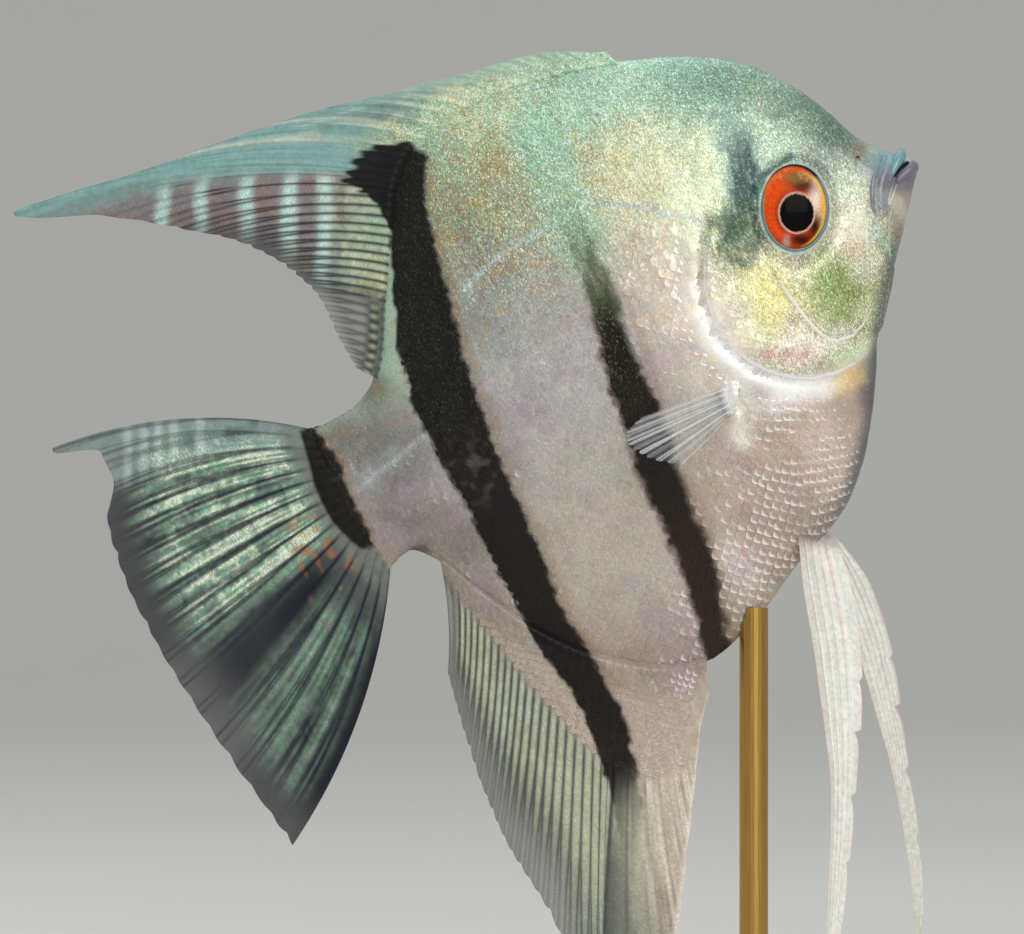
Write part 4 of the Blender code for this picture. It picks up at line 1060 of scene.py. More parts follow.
columns = [9.0]
while columns[-1] < 94.0:
    columns.append(columns[-1] + COLUMN_PITCH * float(pitch_at(columns[-1])))
columns = np.array(columns)
halfway = np.interp(np.arange(len(columns) - 1) + 0.5, np.arange(len(columns)), columns)
root_s, root_row = [], []
for row in range(-MOST_ROWS, MOST_ROWS + 1):
    line = columns if row % 2 == 0 else halfway
    root_s.append(line)
    root_row.append(np.full(len(line), row))
root_s, root_row = np.concatenate(root_s), np.concatenate(root_row)
root_pitch = pitch_at(root_s)
root_t = root_row * root_pitch
root_share = ((np.interp(root_s, stations, arc_above) - root_t)
              / np.interp(root_s, stations, arc_all))
on_body = (root_share > 0.002) & (root_share < 0.998) & (root_s < TAIL_END - 1.2)
root_s, root_t, root_pitch, root_share = (
    values[on_body] for values in (root_s, root_t, root_pitch, root_share))
root_h = on_skin(root_s, root_share, np.ones(len(root_s)))[..., 1]
covered = ~bare(root_s, root_h)
root_s, root_t, root_pitch, root_share, root_h = (
    values[covered] for values in (root_s, root_t, root_pitch, root_share, root_h))
print("scales on each side:", len(root_s))

for side, side_name in ((-1, "right"), (1, "left")):
    chance = np.random.default_rng(50 + side).random((len(root_s), 8))
    spread = pitch_at(root_s + 0.5) - pitch_at(root_s - 0.5)
    ridge_slope = np.where(root_share < 0.5, back(root_s + 1) - back(root_s - 1),
                           belly(root_s + 1) - belly(root_s - 1)) / 2
    near_ridge = ease(np.abs(root_share - 0.5), 0.30, 0.50)
    lie = (np.arctan(root_t * spread / root_pitch) * (1 - near_ridge)
           + np.arctan(np.clip(ridge_slope, -1.2, 1.2)) * 0.55 * near_ridge
           + 0.12 * (chance[:, 3] - 0.5))
    long = SCALE_LONG * root_pitch * (1 + 0.16 * (chance[:, 4] - 0.5))
    wide = SCALE_HALF_WIDE * root_pitch * (1 + 0.08 * (chance[:, 5] - 0.5))
    x = plate_x.ravel()[None] * long[:, None]
    w = plate_w.ravel()[None] * wide[:, None]
    s = root_s[:, None] + x * np.cos(lie)[:, None] - w * np.sin(lie)[:, None]
    t = root_t[:, None] + x * np.sin(lie)[:, None] + w * np.cos(lie)[:, None]
    share = ((np.interp(s, stations, arc_above) - t) / np.interp(s, stations, arc_all))
    flat = np.maximum(fall(root_s, 22, 32), 0.6 * ease(root_h, 4, 16))
    raised = ((0.16 + 0.06 * chance[:, 6]) * (1 - 0.5 * flat)
              + 0.05 * glint_at(root_s, root_h))
    above = ((root_pitch / 0.9)[:, None]
             * (-0.14 + raised[:, None] * a_grid.ravel()[None] ** 1.25 + plate_dome.ravel()))
    # Those next to the gill cover come out from under its edge.
    past_gill, _ = from_line(root_s, root_h, margin_line)
    tucked = ease(past_gill, 0.0, 0.3) * fall(past_gill, 1.4, 2.6)
    above = above - 0.30 * tucked[:, None] * (1 - a_grid.ravel()[None])
    top = on_skin(s, share, np.full(s.shape, side), above)
    below = on_skin(s[:, plate_rim], share[:, plate_rim],
                    np.full((len(s), len(plate_rim)), side),
                    above[:, plate_rim] - SCALE_THICK)
    colour, shine = dressed(top[..., 0], top[..., 1], root_s + 0.6 * long, root_h,
                            chance, side)
    plots = unwrapped(root_s, root_share, side)
    pieces = math.ceil(len(root_s) / MOST_PER_PIECE)
    for k, rows in enumerate(np.array_split(np.arange(len(root_s)), pieces)):
        scale_piece(f"scales_{side_name}_{k + 1}", top[rows], below[rows], colour[rows],
                    shine[rows], plots[rows])


# ---- Dorsal fin ----
# A sail on twelve stiff spines and a fan of soft rays, which are drawn out into a
# trailing point. The thin membrane between them is pale blue over the spines,
# banded cream and mauve behind, and smoky and nearly clear at the rear of its base.
DORSAL_SPAN = (28.0, 80.0)
# Where the rays end: share of the way along the fin's root, then s and h.
DORSAL_TIPS = ((0, 29.6, 35.2), (0.10, 38.5, 39.8), (0.20, 47.5, 41.9), (0.30, 57.5, 44.4),
               (0.40, 69.0, 47.6), (0.48, 83.0, 50.3), (0.535, 99.0, 52.9),
               (0.556, 112.4, 55.7), (0.566, 112.6, 55.0), (0.59, 102.5, 49.6),
               (0.63, 94.0, 43.0), (0.70, 86.8, 36.6), (0.78, 82.8, 30.4),
               (0.87, 80.9, 23.8), (0.94, 81.3, 18.2), (1, 81.2, 13.6))
ROOT_DEPTH = 1.6              # how far a fin's root reaches into the flesh
MEMBRANE_HALF = 0.13
FIN_LUMPS = 1.6               # to each millimetre
FIN_CELL_GAIN = (2.4, 2.4, 2.5)


def fin_finish(name, roughness, slime):
    """Wet fin skin: its colour and how solid it is come from the painted points."""
    material, tree, shader = finish_of(name)
    pigment = add(tree, "VertexColor", layer_name="paint")
    where = add(tree, "TexCoord").outputs["Object"]
    fine = add(tree, "TexNoise", {"Vector": where, "Scale": FIN_LUMPS / MM,
                                  "Detail": 2.0})
    tone = add(tree, "ValToRGB", {"Fac": fine.outputs["Fac"]},
               stops=((0.3, "#e6e6e6"), (0.7, "#ffffff")))
    cells = add(tree, "VectorMath", {0: flashes(tree, where), 1: FIN_CELL_GAIN},
                operation="MULTIPLY")
    lit = add(tree, "Mix", {0: add(tree, "VertexColor", layer_name="flash").outputs["Alpha"],
                            6: tone.outputs["Color"], 7: cells.outputs["Vector"]},
              data_type="RGBA")
    colour = add(tree, "VectorMath", {0: pigment.outputs["Color"], 1: lit.outputs[2]},
                 operation="MULTIPLY")
    capped = add(tree, "VectorMath", {0: colour.outputs["Vector"], 1: BRIGHTEST},
                 operation="MINIMUM")
    tree.links.new(capped.outputs["Vector"], shader.inputs["Base Color"])
    tree.links.new(pigment.outputs["Alpha"], shader.inputs["Alpha"])
    vary_roughness(tree, shader, fine.outputs["Fac"], roughness - 0.06, roughness + 0.08,
                   (0.3, 0.7))
    dull_where_black(tree, shader, pigment, slime)
    shader.inputs["Coat Roughness"].default_value = 0.15
    return material


# Smoky membrane: a satin sheen, with light behind it where it thins to the margin.
fin_skin = fin_finish("smoky_fin_membrane", 0.38, 0.25)


def shell(name, middle, half, colour, solid, flash, material, replaced):
    """A closed fin: its middle surface thickened to both sides, with its colours, how
    solid it is and how much it flashes."""
    rows, columns = middle.shape[:2]
    normal = np.cross(np.gradient(middle, axis=0), np.gradient(middle, axis=1))
    normal /= np.maximum(np.linalg.norm(normal, axis=2, keepdims=True), 1e-9)
    turned = np.median(normal[..., 2]) > 0      # then the grid's faces look down
    if not turned:
        normal = -normal
    offset = normal * half[..., None]
    points = np.concatenate([(middle + offset).reshape(-1, 3),
                             (middle - offset).reshape(-1, 3)])
    near = quads_of(rows, columns)
    at = np.arange(rows * columns).reshape(rows, columns)
    rim = np.concatenate([at[0, :-1], at[:-1, -1], at[-1, :0:-1], at[:0:-1, 0]])
    edge = np.stack([rim, rim + rows * columns, np.roll(rim, -1) + rows * columns,
                     np.roll(rim, -1)], -1)
    if turned:
        near, edge = near[:, ::-1], edge[:, ::-1]
    groups = [near, near[:, ::-1] + rows * columns, edge]
    obj = mesh_object(name, world_of(points), groups, material)
    paint(obj, np.tile(np.clip(colour, 0.003, 0.96).reshape(-1, 3), (2, 1)),
          np.tile(np.clip(solid, 0, 1).ravel(), 2))
    flash = np.broadcast_to(flash, middle.shape[:2]).ravel()
    paint(obj, np.zeros((2 * flash.size, 3)), np.tile(np.clip(flash, 0, 1), 2), "flash")
    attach(obj, "root")
    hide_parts(replaced)
    return obj


def edge_root(edge, span, shares, inward):
    """Root points along the body's edge, moved into the flesh."""
    s = np.linspace(*span, 200)
    line = np.column_stack([s, edge(s)])
    length = np.concatenate([[0], np.cumsum(np.hypot(*np.diff(line, axis=0).T))])
    along = np.gradient(line, axis=0)
    along /= np.linalg.norm(along, axis=1, keepdims=True)
    line = line + inward * ROOT_DEPTH * np.column_stack([-along[:, 1], along[:, 0]])
    return np.column_stack([np.interp(shares * length[-1], length, line[:, k])
                            for k in (0, 1)])


def fan(root, tips, shares, ray_number, rows, bend, sway, notch):
    """A fin's middle surface: rays from the root points to the curve of their tips,
    which end in a small point each. Also gives lengths and the rays' spacing in mm."""
    tip = through(tips)(shares)
    v = np.linspace(0, 1, rows)[None]
    between = np.abs(ray_number - np.round(ray_number))[:, None]
    ray = tip - root
    full = np.linalg.norm(ray, axis=1)[:, None]
    uneven = 0.6 + 0.9 * noise(ray_number * 0.9, 0 * ray_number, 1.0, 40)[:, None] ** 2
    v = v - notch * uneven * (2 * between) ** 1.5 * v ** 8 / np.maximum(full, 5.0)
    sideways = np.stack([-ray[:, 1], ray[:, 0]], -1)[:, None]
    flat = (root[:, None] + v[..., None] * ray[:, None]
            + sideways * (bend(shares)[:, None] * 4 * v * (1 - v))[..., None])
    length = full * v
    middle = np.dstack([flat, sway * (length / 40.0) ** 2])
    spacing = (np.linalg.norm(np.gradient(middle, axis=0), axis=2)
               / np.gradient(ray_number)[:, None])
    return middle, length, v, spacing


def ray_lines(ray_number, v, spacing, forks):
    """Distance in mm to the nearest ray, which forks at each "forks" (v, share)."""
    away = np.abs(ray_number - np.round(ray_number))[:, None] + 0 * v
    for start, end, spread in forks:
        away = np.abs(away - spread * ease(v, start, end))
    return away * spacing


def coat(shape, code):
    """One colour at every point of a grid of that shape."""
    return np.ones((*shape, 3)) * linear(code)[:3]


def dorsal_patch(s, h, frayed=0.0):
    """How much of the black patch at the fin's middle covers a point."""
    reach = ((s - 63.6) / 6.6) ** 2 + ((h - 35.6 - (s - 63) * 0.12) / 3.7) ** 2
    return ease(0.35 * frayed - reach, -1.05, -0.75)


numbers = np.linspace(0, 37, 37 * 8 + 1)
shares = np.interp(numbers, (0, 12, 37), (0, 0.5, 1))
middle, length, v, spacing = fan(edge_root(back, DORSAL_SPAN, shares, -1), DORSAL_TIPS,
                                 shares, numbers, 130,
                                 lambda u: 0.07 * np.sin(math.pi * u), 1.0, 0.45)
share = shares[:, None] + 0 * v
s, h = middle[..., 0], middle[..., 1]
behind = s * math.cos(PITCH) + h * math.sin(PITCH)      # level distance to the mouth
away = ray_lines(numbers, v, spacing, ((0.45, 0.8, 0.2),))
line = np.exp(-(away / np.where(share > 0.56, 0.27, 0.16)) ** 2)
strand = noise(share * 320, length * 0.05, 1.0, 41)
colour = coat(s.shape, "#7ba8a6")
colour = lay(colour, (
    ("#94bfc0", 0.55 * ease(strand, -0.3, 0.7)),
    ("#5b8284", 0.40 * fall(strand, -0.8, -0.1)),
    ("#dbe3d2", 0.70 * bell(share - 0.505, 0.008) * ease(length, 8, 16)),
    ("#e6e4cf", 0.55 * bell(share - 0.44, 0.006) * ease(length, 6, 12)),
    ("#a9c6b0", 0.75 * fall(share, 0.20, 0.46))))
blend = fall(length, 2.5, 7.0 + 9.0 * share) * fall(share, 0.50, 0.56)
body_h = np.minimum(h, back(np.minimum(s, 90.0)) - 1.0)
skin_like = over(markings(s, body_h)[0], "#a2b094",
                 ease(third_bar_at(s, body_h)[0], 0.0, 0.3))
colour = colour + (skin_like - colour) * (0.92 * blend)[..., None]
colour = lay(colour, (
    ("#d2dcbe", 0.45 * blend * ease(noise(s, h, 0.5, 48), 0.0, 0.6)),
    ("#dfe9dc", 0.55 * line * fall(share, 0.46, 0.52)),
    ("#4c6668", 0.50 * ease(away / spacing, 0.2, 0.45) * fall(share, 0.40, 0.50)
     * ease(length, 3, 8))))
mottle = noise(share * 70, length * 0.13, 1.0, 49) + 0.5 * noise(s, h, 0.9, 50)
spiny = fall(share, 0.46, 0.52) * ease(length, 2, 5) * fall(v, 0.45, 0.75)
colour = lay(colour, (
    ("#dcd4ae", 0.60 * spiny * ease(mottle, 0.25, 0.9)),
    ("#5f7274", 0.50 * spiny * fall(mottle, -0.9, -0.25)),
    ("#b9693a", 0.8 * ease(v, 0.955, 0.985) * ease(share, 0.36, 0.44)
     * fall(share, 0.54, 0.56))))
rear = ease(share, 0.562, 0.60)
colour = lay(colour, (
    ("#80737a", 0.95 * rear),
    ("#92aa9c", 0.85 * rear * fall(behind, 79.0, 85.0)),
    ("#8f6e66", 0.5 * rear * ease(noise(s, h, 2.6, 47), 0.0, 0.8))))
for band, wide in ((104.9, 0.95), (99.4, 0.95), (92.9, 1.15), (86.9, 1.15), (81.9, 1.15)):
    shift = 0.35 * noise(s, h, 3.0, 42) + 0.05 * (h - 38)
    colour = over(colour, "#bfe0e0", 0.93 * rear * np.exp(
        -(np.abs(behind - band + shift) / wide) ** 3))
colour = over(colour, "#b4c4b0", 0.9 * rear * fall(behind, 77.6, 80.0)
              * ease(h, 21, 25))
speckle = noise(s, h, 0.8, 43)
colour = lay(colour, (
    ("#dcd8bc", 0.6 * rear * ease(speckle, 0.2, 0.7) * fall(behind, 78.0, 86.0)),
    ("#8b8577", 0.5 * rear * fall(speckle, -0.7, -0.2) * fall(behind, 77.0, 82.0)),
    ("#c9d98f", 0.35 * rear * fall(noise(s, h, 1.8, 44), -0.7, -0.2) * fall(h, 28, 36)),
    ("#a8cdb2", 0.7 * rear * np.exp(-from_place(s, h, 69.0, 29.5, 3.0, 3.0)))))
clear = ease(share, 0.80, 0.875)
margin = ease(v, 0.72, 0.97) * ease(share, 0.60, 0.70)
colour = over(colour, "#32383b", 0.93 * clear)
ticks = clear * bell(length - ROOT_DEPTH - 0.8, 0.9)
colour = lay(colour, (
    ("#b7bf9d", 0.85 * ticks * bell(away, 0.35)),
    ("#17171d", 0.93 * line * rear * (1 - ticks)),
    ("#3d4245", 0.75 * margin)))
fingers = noise(share * 160, length * 0.25, 1.0, 45)
cover = third_bar_at(s, h)[0] * ease(share, 0.3, 0.42) * fall(h, 35.0, 36.5)
cover = np.maximum(cover, dorsal_patch(s, h, fingers) * ease(s, 58.6, 59.6))
colour = over(colour, "#121113", 0.985 * cover)
shade = 1 + 0.10 * noise(s, h, 1.3, 46)
colour *= shade[..., None]
solid = (1 - 0.40 * margin) * (1 - 0.80 * clear * (1 - ticks) * (1 - 0.35 * line))
solid = np.maximum(solid, cover)
ridge = 0.10 + 0.14 * np.exp(-length / 12)
half = (MEMBRANE_HALF + ridge * bell(away, 0.26)
        + 0.85 * np.exp(-np.maximum(length - ROOT_DEPTH, 0) / 2.2)
        * ease(length, 0.1, ROOT_DEPTH + 0.2))
half *= 0.35 + 0.65 * ease(1 - v, 0, 0.04)
flash = 0.9 * blend + 0.35 * rear * (1 - line) * (1 - clear)
shell("dorsal_membrane_and_rays", middle, half, colour, solid,
      flash * (1 - 0.8 * cover), fin_skin, "dorsal_fin")


# ---- Anal fin ----
# Six stiff spines in front, then soft rays that sweep down and back into a point.
# The third bar runs on into it. Cream bands of reflecting cells fill the gaps
# between the dark rays, and a scaled sheath of body skin wraps its base.
ANAL_SPAN = (57.6, 84.8)
ANAL_REAR = 84.0              # no belly edge is looked for behind this
ANAL_TIPS = ((0, 60.2, -49.8), (0.04, 62.9, -52.6), (0.09, 67.4, -58.9),
             (0.14, 72.6, -66.2), (0.19, 78.4, -74.3), (0.24, 88.0, -86.2),
             (0.285, 105.6, -102.6), (0.297, 106.4, -102.2), (0.34, 98.4, -88.4),
             (0.40, 95.4, -77.5), (0.50, 94.4, -65.0), (0.62, 94.9, -55.5),
             (0.75, 94.2, -46.7), (0.88, 92.4, -37.0), (1, 90.6, -29.6))
SHEATH = ((84.9, -13.7), (84.4, -17.6), (83.3, -22.9), (82.1, -29.1), (81.0, -35.8),
          (79.6, -41.9), (77.5, -49.5), (74.1, -55.0), (68.9, -57.1), (61.2, -50.2),
          (57.8, -46.1))
sheath_line = smooth_line(SHEATH)
numbers = np.linspace(0, 32, 32 * 9 + 1)
shares = np.interp(numbers, (0, 6, 32), (0, 0.20, 1))
middle, length, v, spacing = fan(edge_root(belly, ANAL_SPAN, shares, 1), ANAL_TIPS,
                                 shares, numbers, 150, lambda u: 0.04 - 0.08 * u, -0.8,
                                 0.5)
share = shares[:, None] + 0 * v
s, h = middle[..., 0], middle[..., 1]
away = ray_lines(numbers, v, spacing, ((0.55, 0.9, 0.22),))
line = bell(away, 0.26)
outside, _ = from_line(s, h, sheath_line)
outside = outside + 0.35 * noise(share * 60, length, 1.0, 51)
free = ease(outside, -0.6, 1.6)
colour, _ = markings(s, np.maximum(h, belly(np.minimum(s, ANAL_REAR)) + 3.0))
colour = lay(colour, (
    ("#b09f93", 0.75 * ease(length, 2.0, 7.0)),
    ("#c9bbab", 0.80 * fall(share, 0.20, 0.40) * ease(length, 2.0, 7.0)),
    ("#a8989a", 0.5 * ease(noise(s, h, 2.2, 52), 0, 0.9))))
stripes = coat(s.shape, "#babca4")
stripes = over(stripes, "#bfcab8", 0.7 * ease(noise(share * 50, length, 6.0, 53), -0.2, 0.7))
stripes *= (1 - 0.45 * ease(length, 26, 46) * fall(share, 0.3, 0.5))[..., None]
stripes = lay(stripes, (
    ("#c9b584", 0.55 * ease(noise(s, h, 0.8, 54), 0.2, 0.8) * fall(length, 5, 14)
     * ease(share, 0.55, 0.85)),
    ("#9fb5b4", 0.6 * ease(length, 30, 46) * fall(share, 0.35, 0.55)),
    ("#22253a", 0.93 * line),
    ("#3f4d50", 0.5 * bell(away, 0.5))))
front = fall(share, 0.20, 0.30)
streaky = noise(share * 220, length * 0.12, 1.0, 55)
spines = coat(s.shape, "#cbbfb0")
spines = lay(spines, (
    ("#efe4da", 0.8 * ease(streaky, 0.0, 0.8)),
    ("#94857c", 0.6 * fall(streaky, -0.9, -0.15))))
stripes = stripes + (spines - stripes) * front[..., None]
colour = colour + (stripes - colour) * free[..., None]
smoke = bell(share - 0.285, 0.032) * ease(length, 18, 30)
colour = over(colour, "#47524e", 0.85 * smoke)
colour *= (1 - 0.42 * ease(length, 26, 48) * fall(share, 0.24, 0.30))[..., None]
edge_light = ease(v, 0.90, 0.99) * fall(share, 0.2, 0.27)
colour = over(colour, "#f3e2dc", 0.9 * edge_light)
rear_fade = ease(v, 0.55, 0.93) * ease(share, 0.30, 0.50)
base_clear = ease(share, 0.925, 0.965)
gone = np.maximum(rear_fade, base_clear * free)
colour = over(colour, "#3f4447", 0.62 * gone)
cover, _ = third_bar_at(s, h)
streaked = cover * (1 - 0.40 * fall(h, -62, -54) * ease(streaky, 0.0, 0.7))
colour = over(colour, "#141112", 0.98 * streaked)
colour *= (1 + 0.10 * noise(s, h, 1.1, 56))[..., None]
solid = 1 - 0.55 * gone
ridge = 0.10 + 0.16 * np.exp(-length / 14)
half = (MEMBRANE_HALF + ridge * bell(away, 0.26) * (0.25 + 0.75 * free)
        + 0.95 * np.exp(-np.maximum(length - ROOT_DEPTH, 0) / 7.0) * (1 - 0.8 * free)
        * ease(length, 0.1, ROOT_DEPTH + 0.2))
half *= 0.35 + 0.65 * ease(1 - v, 0, 0.04)
flash = (0.16 + 0.12 * free * (1 - line)) * (1 - 0.8 * cover)
anal = shell("anal_membrane_and_rays", middle, half, colour, solid, flash, fin_skin,
             "anal_fin")


# ---- Caudal fin ----
# The tail fan: seventeen forked rays under thin skin, drawn out at the upper corner.
# Pale green lights of reflecting cells lie between the dark rays, brightest in the
# upper half, and fade towards the smoky, half clear margin.
CAUDAL_BASE = ((92.6, 9.4), (92.2, -13.2))
CAUDAL_TIPS = ((0, 123.6, 24.4), (0.012, 123.8, 23.8), (0.05, 118.0, 20.6),
               (0.10, 118.4, 16.4), (0.18, 121.6, 12.2), (0.30, 123.2, 6.2),
               (0.42, 124.0, -0.4), (0.55, 124.1, -8.0), (0.68, 123.6, -17.0),
               (0.80, 122.8, -26.5), (0.90, 121.8, -34.5), (1, 121.2, -40.2))
shares = np.concatenate([np.linspace(0, 0.06, 24, endpoint=False),
                         np.linspace(0.06, 1, 231)])
numbers = shares * 16
root = (np.array(CAUDAL_BASE[0])
        + (np.array(CAUDAL_BASE[1]) - np.array(CAUDAL_BASE[0])) * shares[:, None])
root[:, 0] += 2.4 * shares * (1 - shares) - ROOT_DEPTH
middle, length, v, spacing = fan(root, CAUDAL_TIPS, shares, numbers, 140,
                                 lambda u: 0.075 - 0.14 * u, 2.0, 0.3)
share = shares[:, None] + 0 * v
s, h = middle[..., 0], middle[..., 1]
behind = s * math.cos(PITCH) + h * math.sin(PITCH)
away = ray_lines(numbers, v, spacing, ((0.18, 0.62, 0.19), (0.62, 1.0, 0.085)))
main = ray_lines(numbers, v, spacing, ((0.25, 0.9, 0.12),))
line = bell(away, 0.19)
bold = bell(main, 0.24)
glow = (ease(share, 0.0, 0.10) * fall(share, 0.52, 0.66) * ease(v, 0.03, 0.2)
        * fall(v, 0.74, 0.97))
low_glow = (ease(share, 0.68, 0.78) * fall(share, 0.90, 0.985) * ease(v, 0.15, 0.35)
            * fall(v, 0.80, 0.97) * 0.50)
lit = (noise(share * 110, length * 0.11, 1.0, 61) * 0.6
       + noise(share * 40, length, 2.4, 62) * 0.25 + noise(s, h, 0.55, 67) * 0.25)
glow = np.clip(np.maximum(glow, low_glow) * (0.74 + 0.75 * lit), 0, 1)
colour = coat(s.shape, "#23292f")
colour = lay(colour, (
    ("#737a75", 0.7 * fall(v, 0.05, 0.32)),
    ("#9fc2ad", 0.90 * glow),
    ("#e6f0e0", 0.80 * ease(glow, 0.62, 1.0)),
    ("#6fb89a", 0.6 * ease(noise(s, h, 0.9, 63), 0.1, 0.7) * glow)))
top_lobe = fall(share, 0.09, 0.15)
colour = over(colour, "#93aaa8", 0.85 * top_lobe)
for band in (84.0, 99.3, 103.0, 105.1, 107.1, 109.4):
    colour = over(colour, "#c4d8d4", 0.75 * top_lobe
                  * np.exp(-(np.abs(behind - band) / 0.62) ** 3))
flecks = noise(s, h, 1.1, 64)
colour = over(colour, "#b3713f", 0.7 * ease(flecks, 0.30, 0.75) * ease(share, 0.40, 0.5)
              * fall(share, 0.74, 0.86) * fall(v, 0.25, 0.42))
spots = noise(share * 26, length * 0.9, 1.7, 65)
colour = lay(colour, (
    ("#3f5658", 0.55 * ease(spots, 0.35, 0.75) * fall(share, 0.45, 0.6)
     * fall(v, 0.55, 0.80)),
    ("#7d8480", 0.7 * fall(length, 3.0, 5.5)),
    ("#1f2034", 0.85 * bold * (1 - 0.5 * top_lobe) * ease(length, 1.5, 5)),
    ("#1f2034", 0.75 * line * (1 - 0.3 * top_lobe) * ease(length, 3, 9))))
cover = (ease(tail_rear(np.clip(h, -9.6, 9.8)) - s, -0.25, 0.3)
         * ease(h, -9.8, -8.6) * fall(h, 9.2, 10.2))
colour = over(colour, "#15110f", 0.97 * cover)
colour *= (1 + 0.12 * noise(s, h, 1.0, 66))[..., None]
faded = ease(v, 0.70, 1.0)
middle_smoke = (ease(share, 0.50, 0.62) * fall(share, 0.76, 0.86) * ease(v, 0.35, 0.6))
solid = 1 - 0.34 * faded - 0.14 * middle_smoke - 0.06 * ease(v, 0.1, 0.4)
solid = np.maximum(solid, 0.35 + 0.3 * bold)
ridge = 0.09 + 0.20 * np.exp(-length / 9)
half = (MEMBRANE_HALF + ridge * bell(away, 0.25)
        + 1.15 * np.exp(-np.maximum(length - ROOT_DEPTH, 0) / 2.6))
half *= 0.35 + 0.65 * ease(1 - v, 0, 0.04)
shell("caudal_membrane_and_rays", middle, half, colour, solid, 0.75 * glow, fin_skin,
      "caudal_fin")


# ---- Pelvic fins ----
# Two long ribbons: one spine and five soft rays bound by milky white skin, with a
# pink flush along the edges and small notches where each shorter ray ends.
# Side, which way it is cupped, its width at the root as a share, how slim it is, and
# its middle line: share of the way down, then s, h and y.
PELVICS = (("right", 1, 0.88, 1.0, ((0, 36.3, -36.8, -1.9), (0.2, 41.5, -52.0, -3.0),
                         (0.4, 48.2, -66.0, -4.6), (0.65, 59.0, -83.2, -7.0),
                         (1, 76.6, -107.0, -10.0))),
           ("left", -1, 0.30, 0.76, ((0, 34.6, -36.4, 1.9), (0.2, 36.3, -52.0, 4.2),
                         (0.4, 40.2, -67.0, 7.2), (0.65, 47.2, -87.0, 10.8),
                         (1, 61.4, -111.6, 15.0))))
PELVIC_WIDTH = ((0, 5.6), (0.1, 6.6), (0.25, 6.2), (0.38, 4.6), (0.44, 3.6), (0.6, 2.6),
                (0.75, 1.6), (1, 0.7))
# Milky membrane: chalky white that hides what lies behind it, with a wet sheen.
milky_fin = fin_finish("milky_pelvic_membrane", 0.36, 0.30)
for side_name, leans, at_root, slim, centre_line in PELVICS:
    v = np.linspace(0, 1, 240)
    centre = through(centre_line)(v)
    width = (through(PELVIC_WIDTH)(v) * slim
             * (at_root + (1 - at_root) * ease(v, 0.0, 0.15)))
    along = np.gradient(centre, axis=0)
    broad = np.cross(along, [0.0, 0.0, 1.0])
    broad /= np.linalg.norm(broad, axis=1, keepdims=True)
    u = np.linspace(-0.5, 0.5, 61)[:, None]
    # Small notches in the rear edge, one where each shorter ray ends.
    notch = np.zeros(len(v))
    for place, deep in ((0.27, 0.55), (0.36, 0.9), (0.47, 0.7), (0.58, 0.5), (0.72, 0.3)):
        after = v - place
        notch += deep * np.exp(-np.maximum(after, 0) / 0.018) * ease(after, -0.004, 0.0)
    across = u * width[None]
    across = across - notch[None] * ease(u, 0.0, 0.5)
    cupped = ((u ** 2 - 0.25)[..., None] * np.array([0, 0, leans * 1.6])
              * (width / 6)[None, :, None])
    middle = centre[None] + across[..., None] * broad[None] + cupped
    off = np.abs(6 * u - np.round(6 * u)) + 0 * v[None]
    line = bell(off, 0.12)
    colour = coat(middle.shape[:2], "#f8f6ee")
    colour = over(colour, "#dcece9",
                  0.40 * ease(noise(u * 8, v[None] * 14, 1.0, 71), -0.3, 0.8))
    streak = noise(u * 14 + 3, v[None] * 2.2, 1.0, 74)
    colour = lay(colour, (
        ("#ffffff", 0.7 * line),
        ("#c7d4cf", 0.34 * ease(off, 0.2, 0.45) * ease(streak, -0.4, 0.7)),
        ("#f0d6cf", 0.40 * fall(streak, -0.9, -0.1)),
        ("#eac9c4", 0.60 * ease(np.abs(u), 0.42, 0.5)
         * (0.5 + 0.5 * noise(u * 4, v[None] * 30, 2.0, 72))),
        ("#c9b2a6", 0.7 * fall(v[None], 0.005, 0.05) * np.ones_like(u))))
    colour *= (1 + 0.04 * noise(u * 6, v[None] * 60, 1.2, 73))[..., None]
    taper = 0.20 + 0.42 * (1 - v) ** 3
    half = taper[None] * (1 - 0.6 * (2 * np.abs(u)) ** 3) * (0.75 + 0.45 * line)
    rooted = v[None] - 0.035 * (0.5 + u)        # the base slants along the belly
    solid = ease(rooted, 0.0, 0.022) * (1 - 0.04 * ease(v[None], 0.2, 0.6) * (1 - line))
    shell(f"pelvic_ribbon_{side_name}", middle, half, colour, solid, 0.0, milky_fin,
          f"pelvic_fin_{side_name}")


# ---- Pectoral fins ----
# Clear paddles that row the fish: thirteen fine whitish rays in skin as clear as
# film, on a fleshy white lobe behind the gill cover, held a little out and back.
PECTORAL_BASE = ((37.2, -13.6), (38.4, -17.2))
PECTORAL_TIPS = ((0, 50.4, -11.6, 15.4), (0.25, 53.0, -12.4, 18.0), (0.5, 53.6, -14.0, 19.6),
                 (0.75, 52.2, -16.8, 20.4), (1, 48.6, -20.0, 19.0))
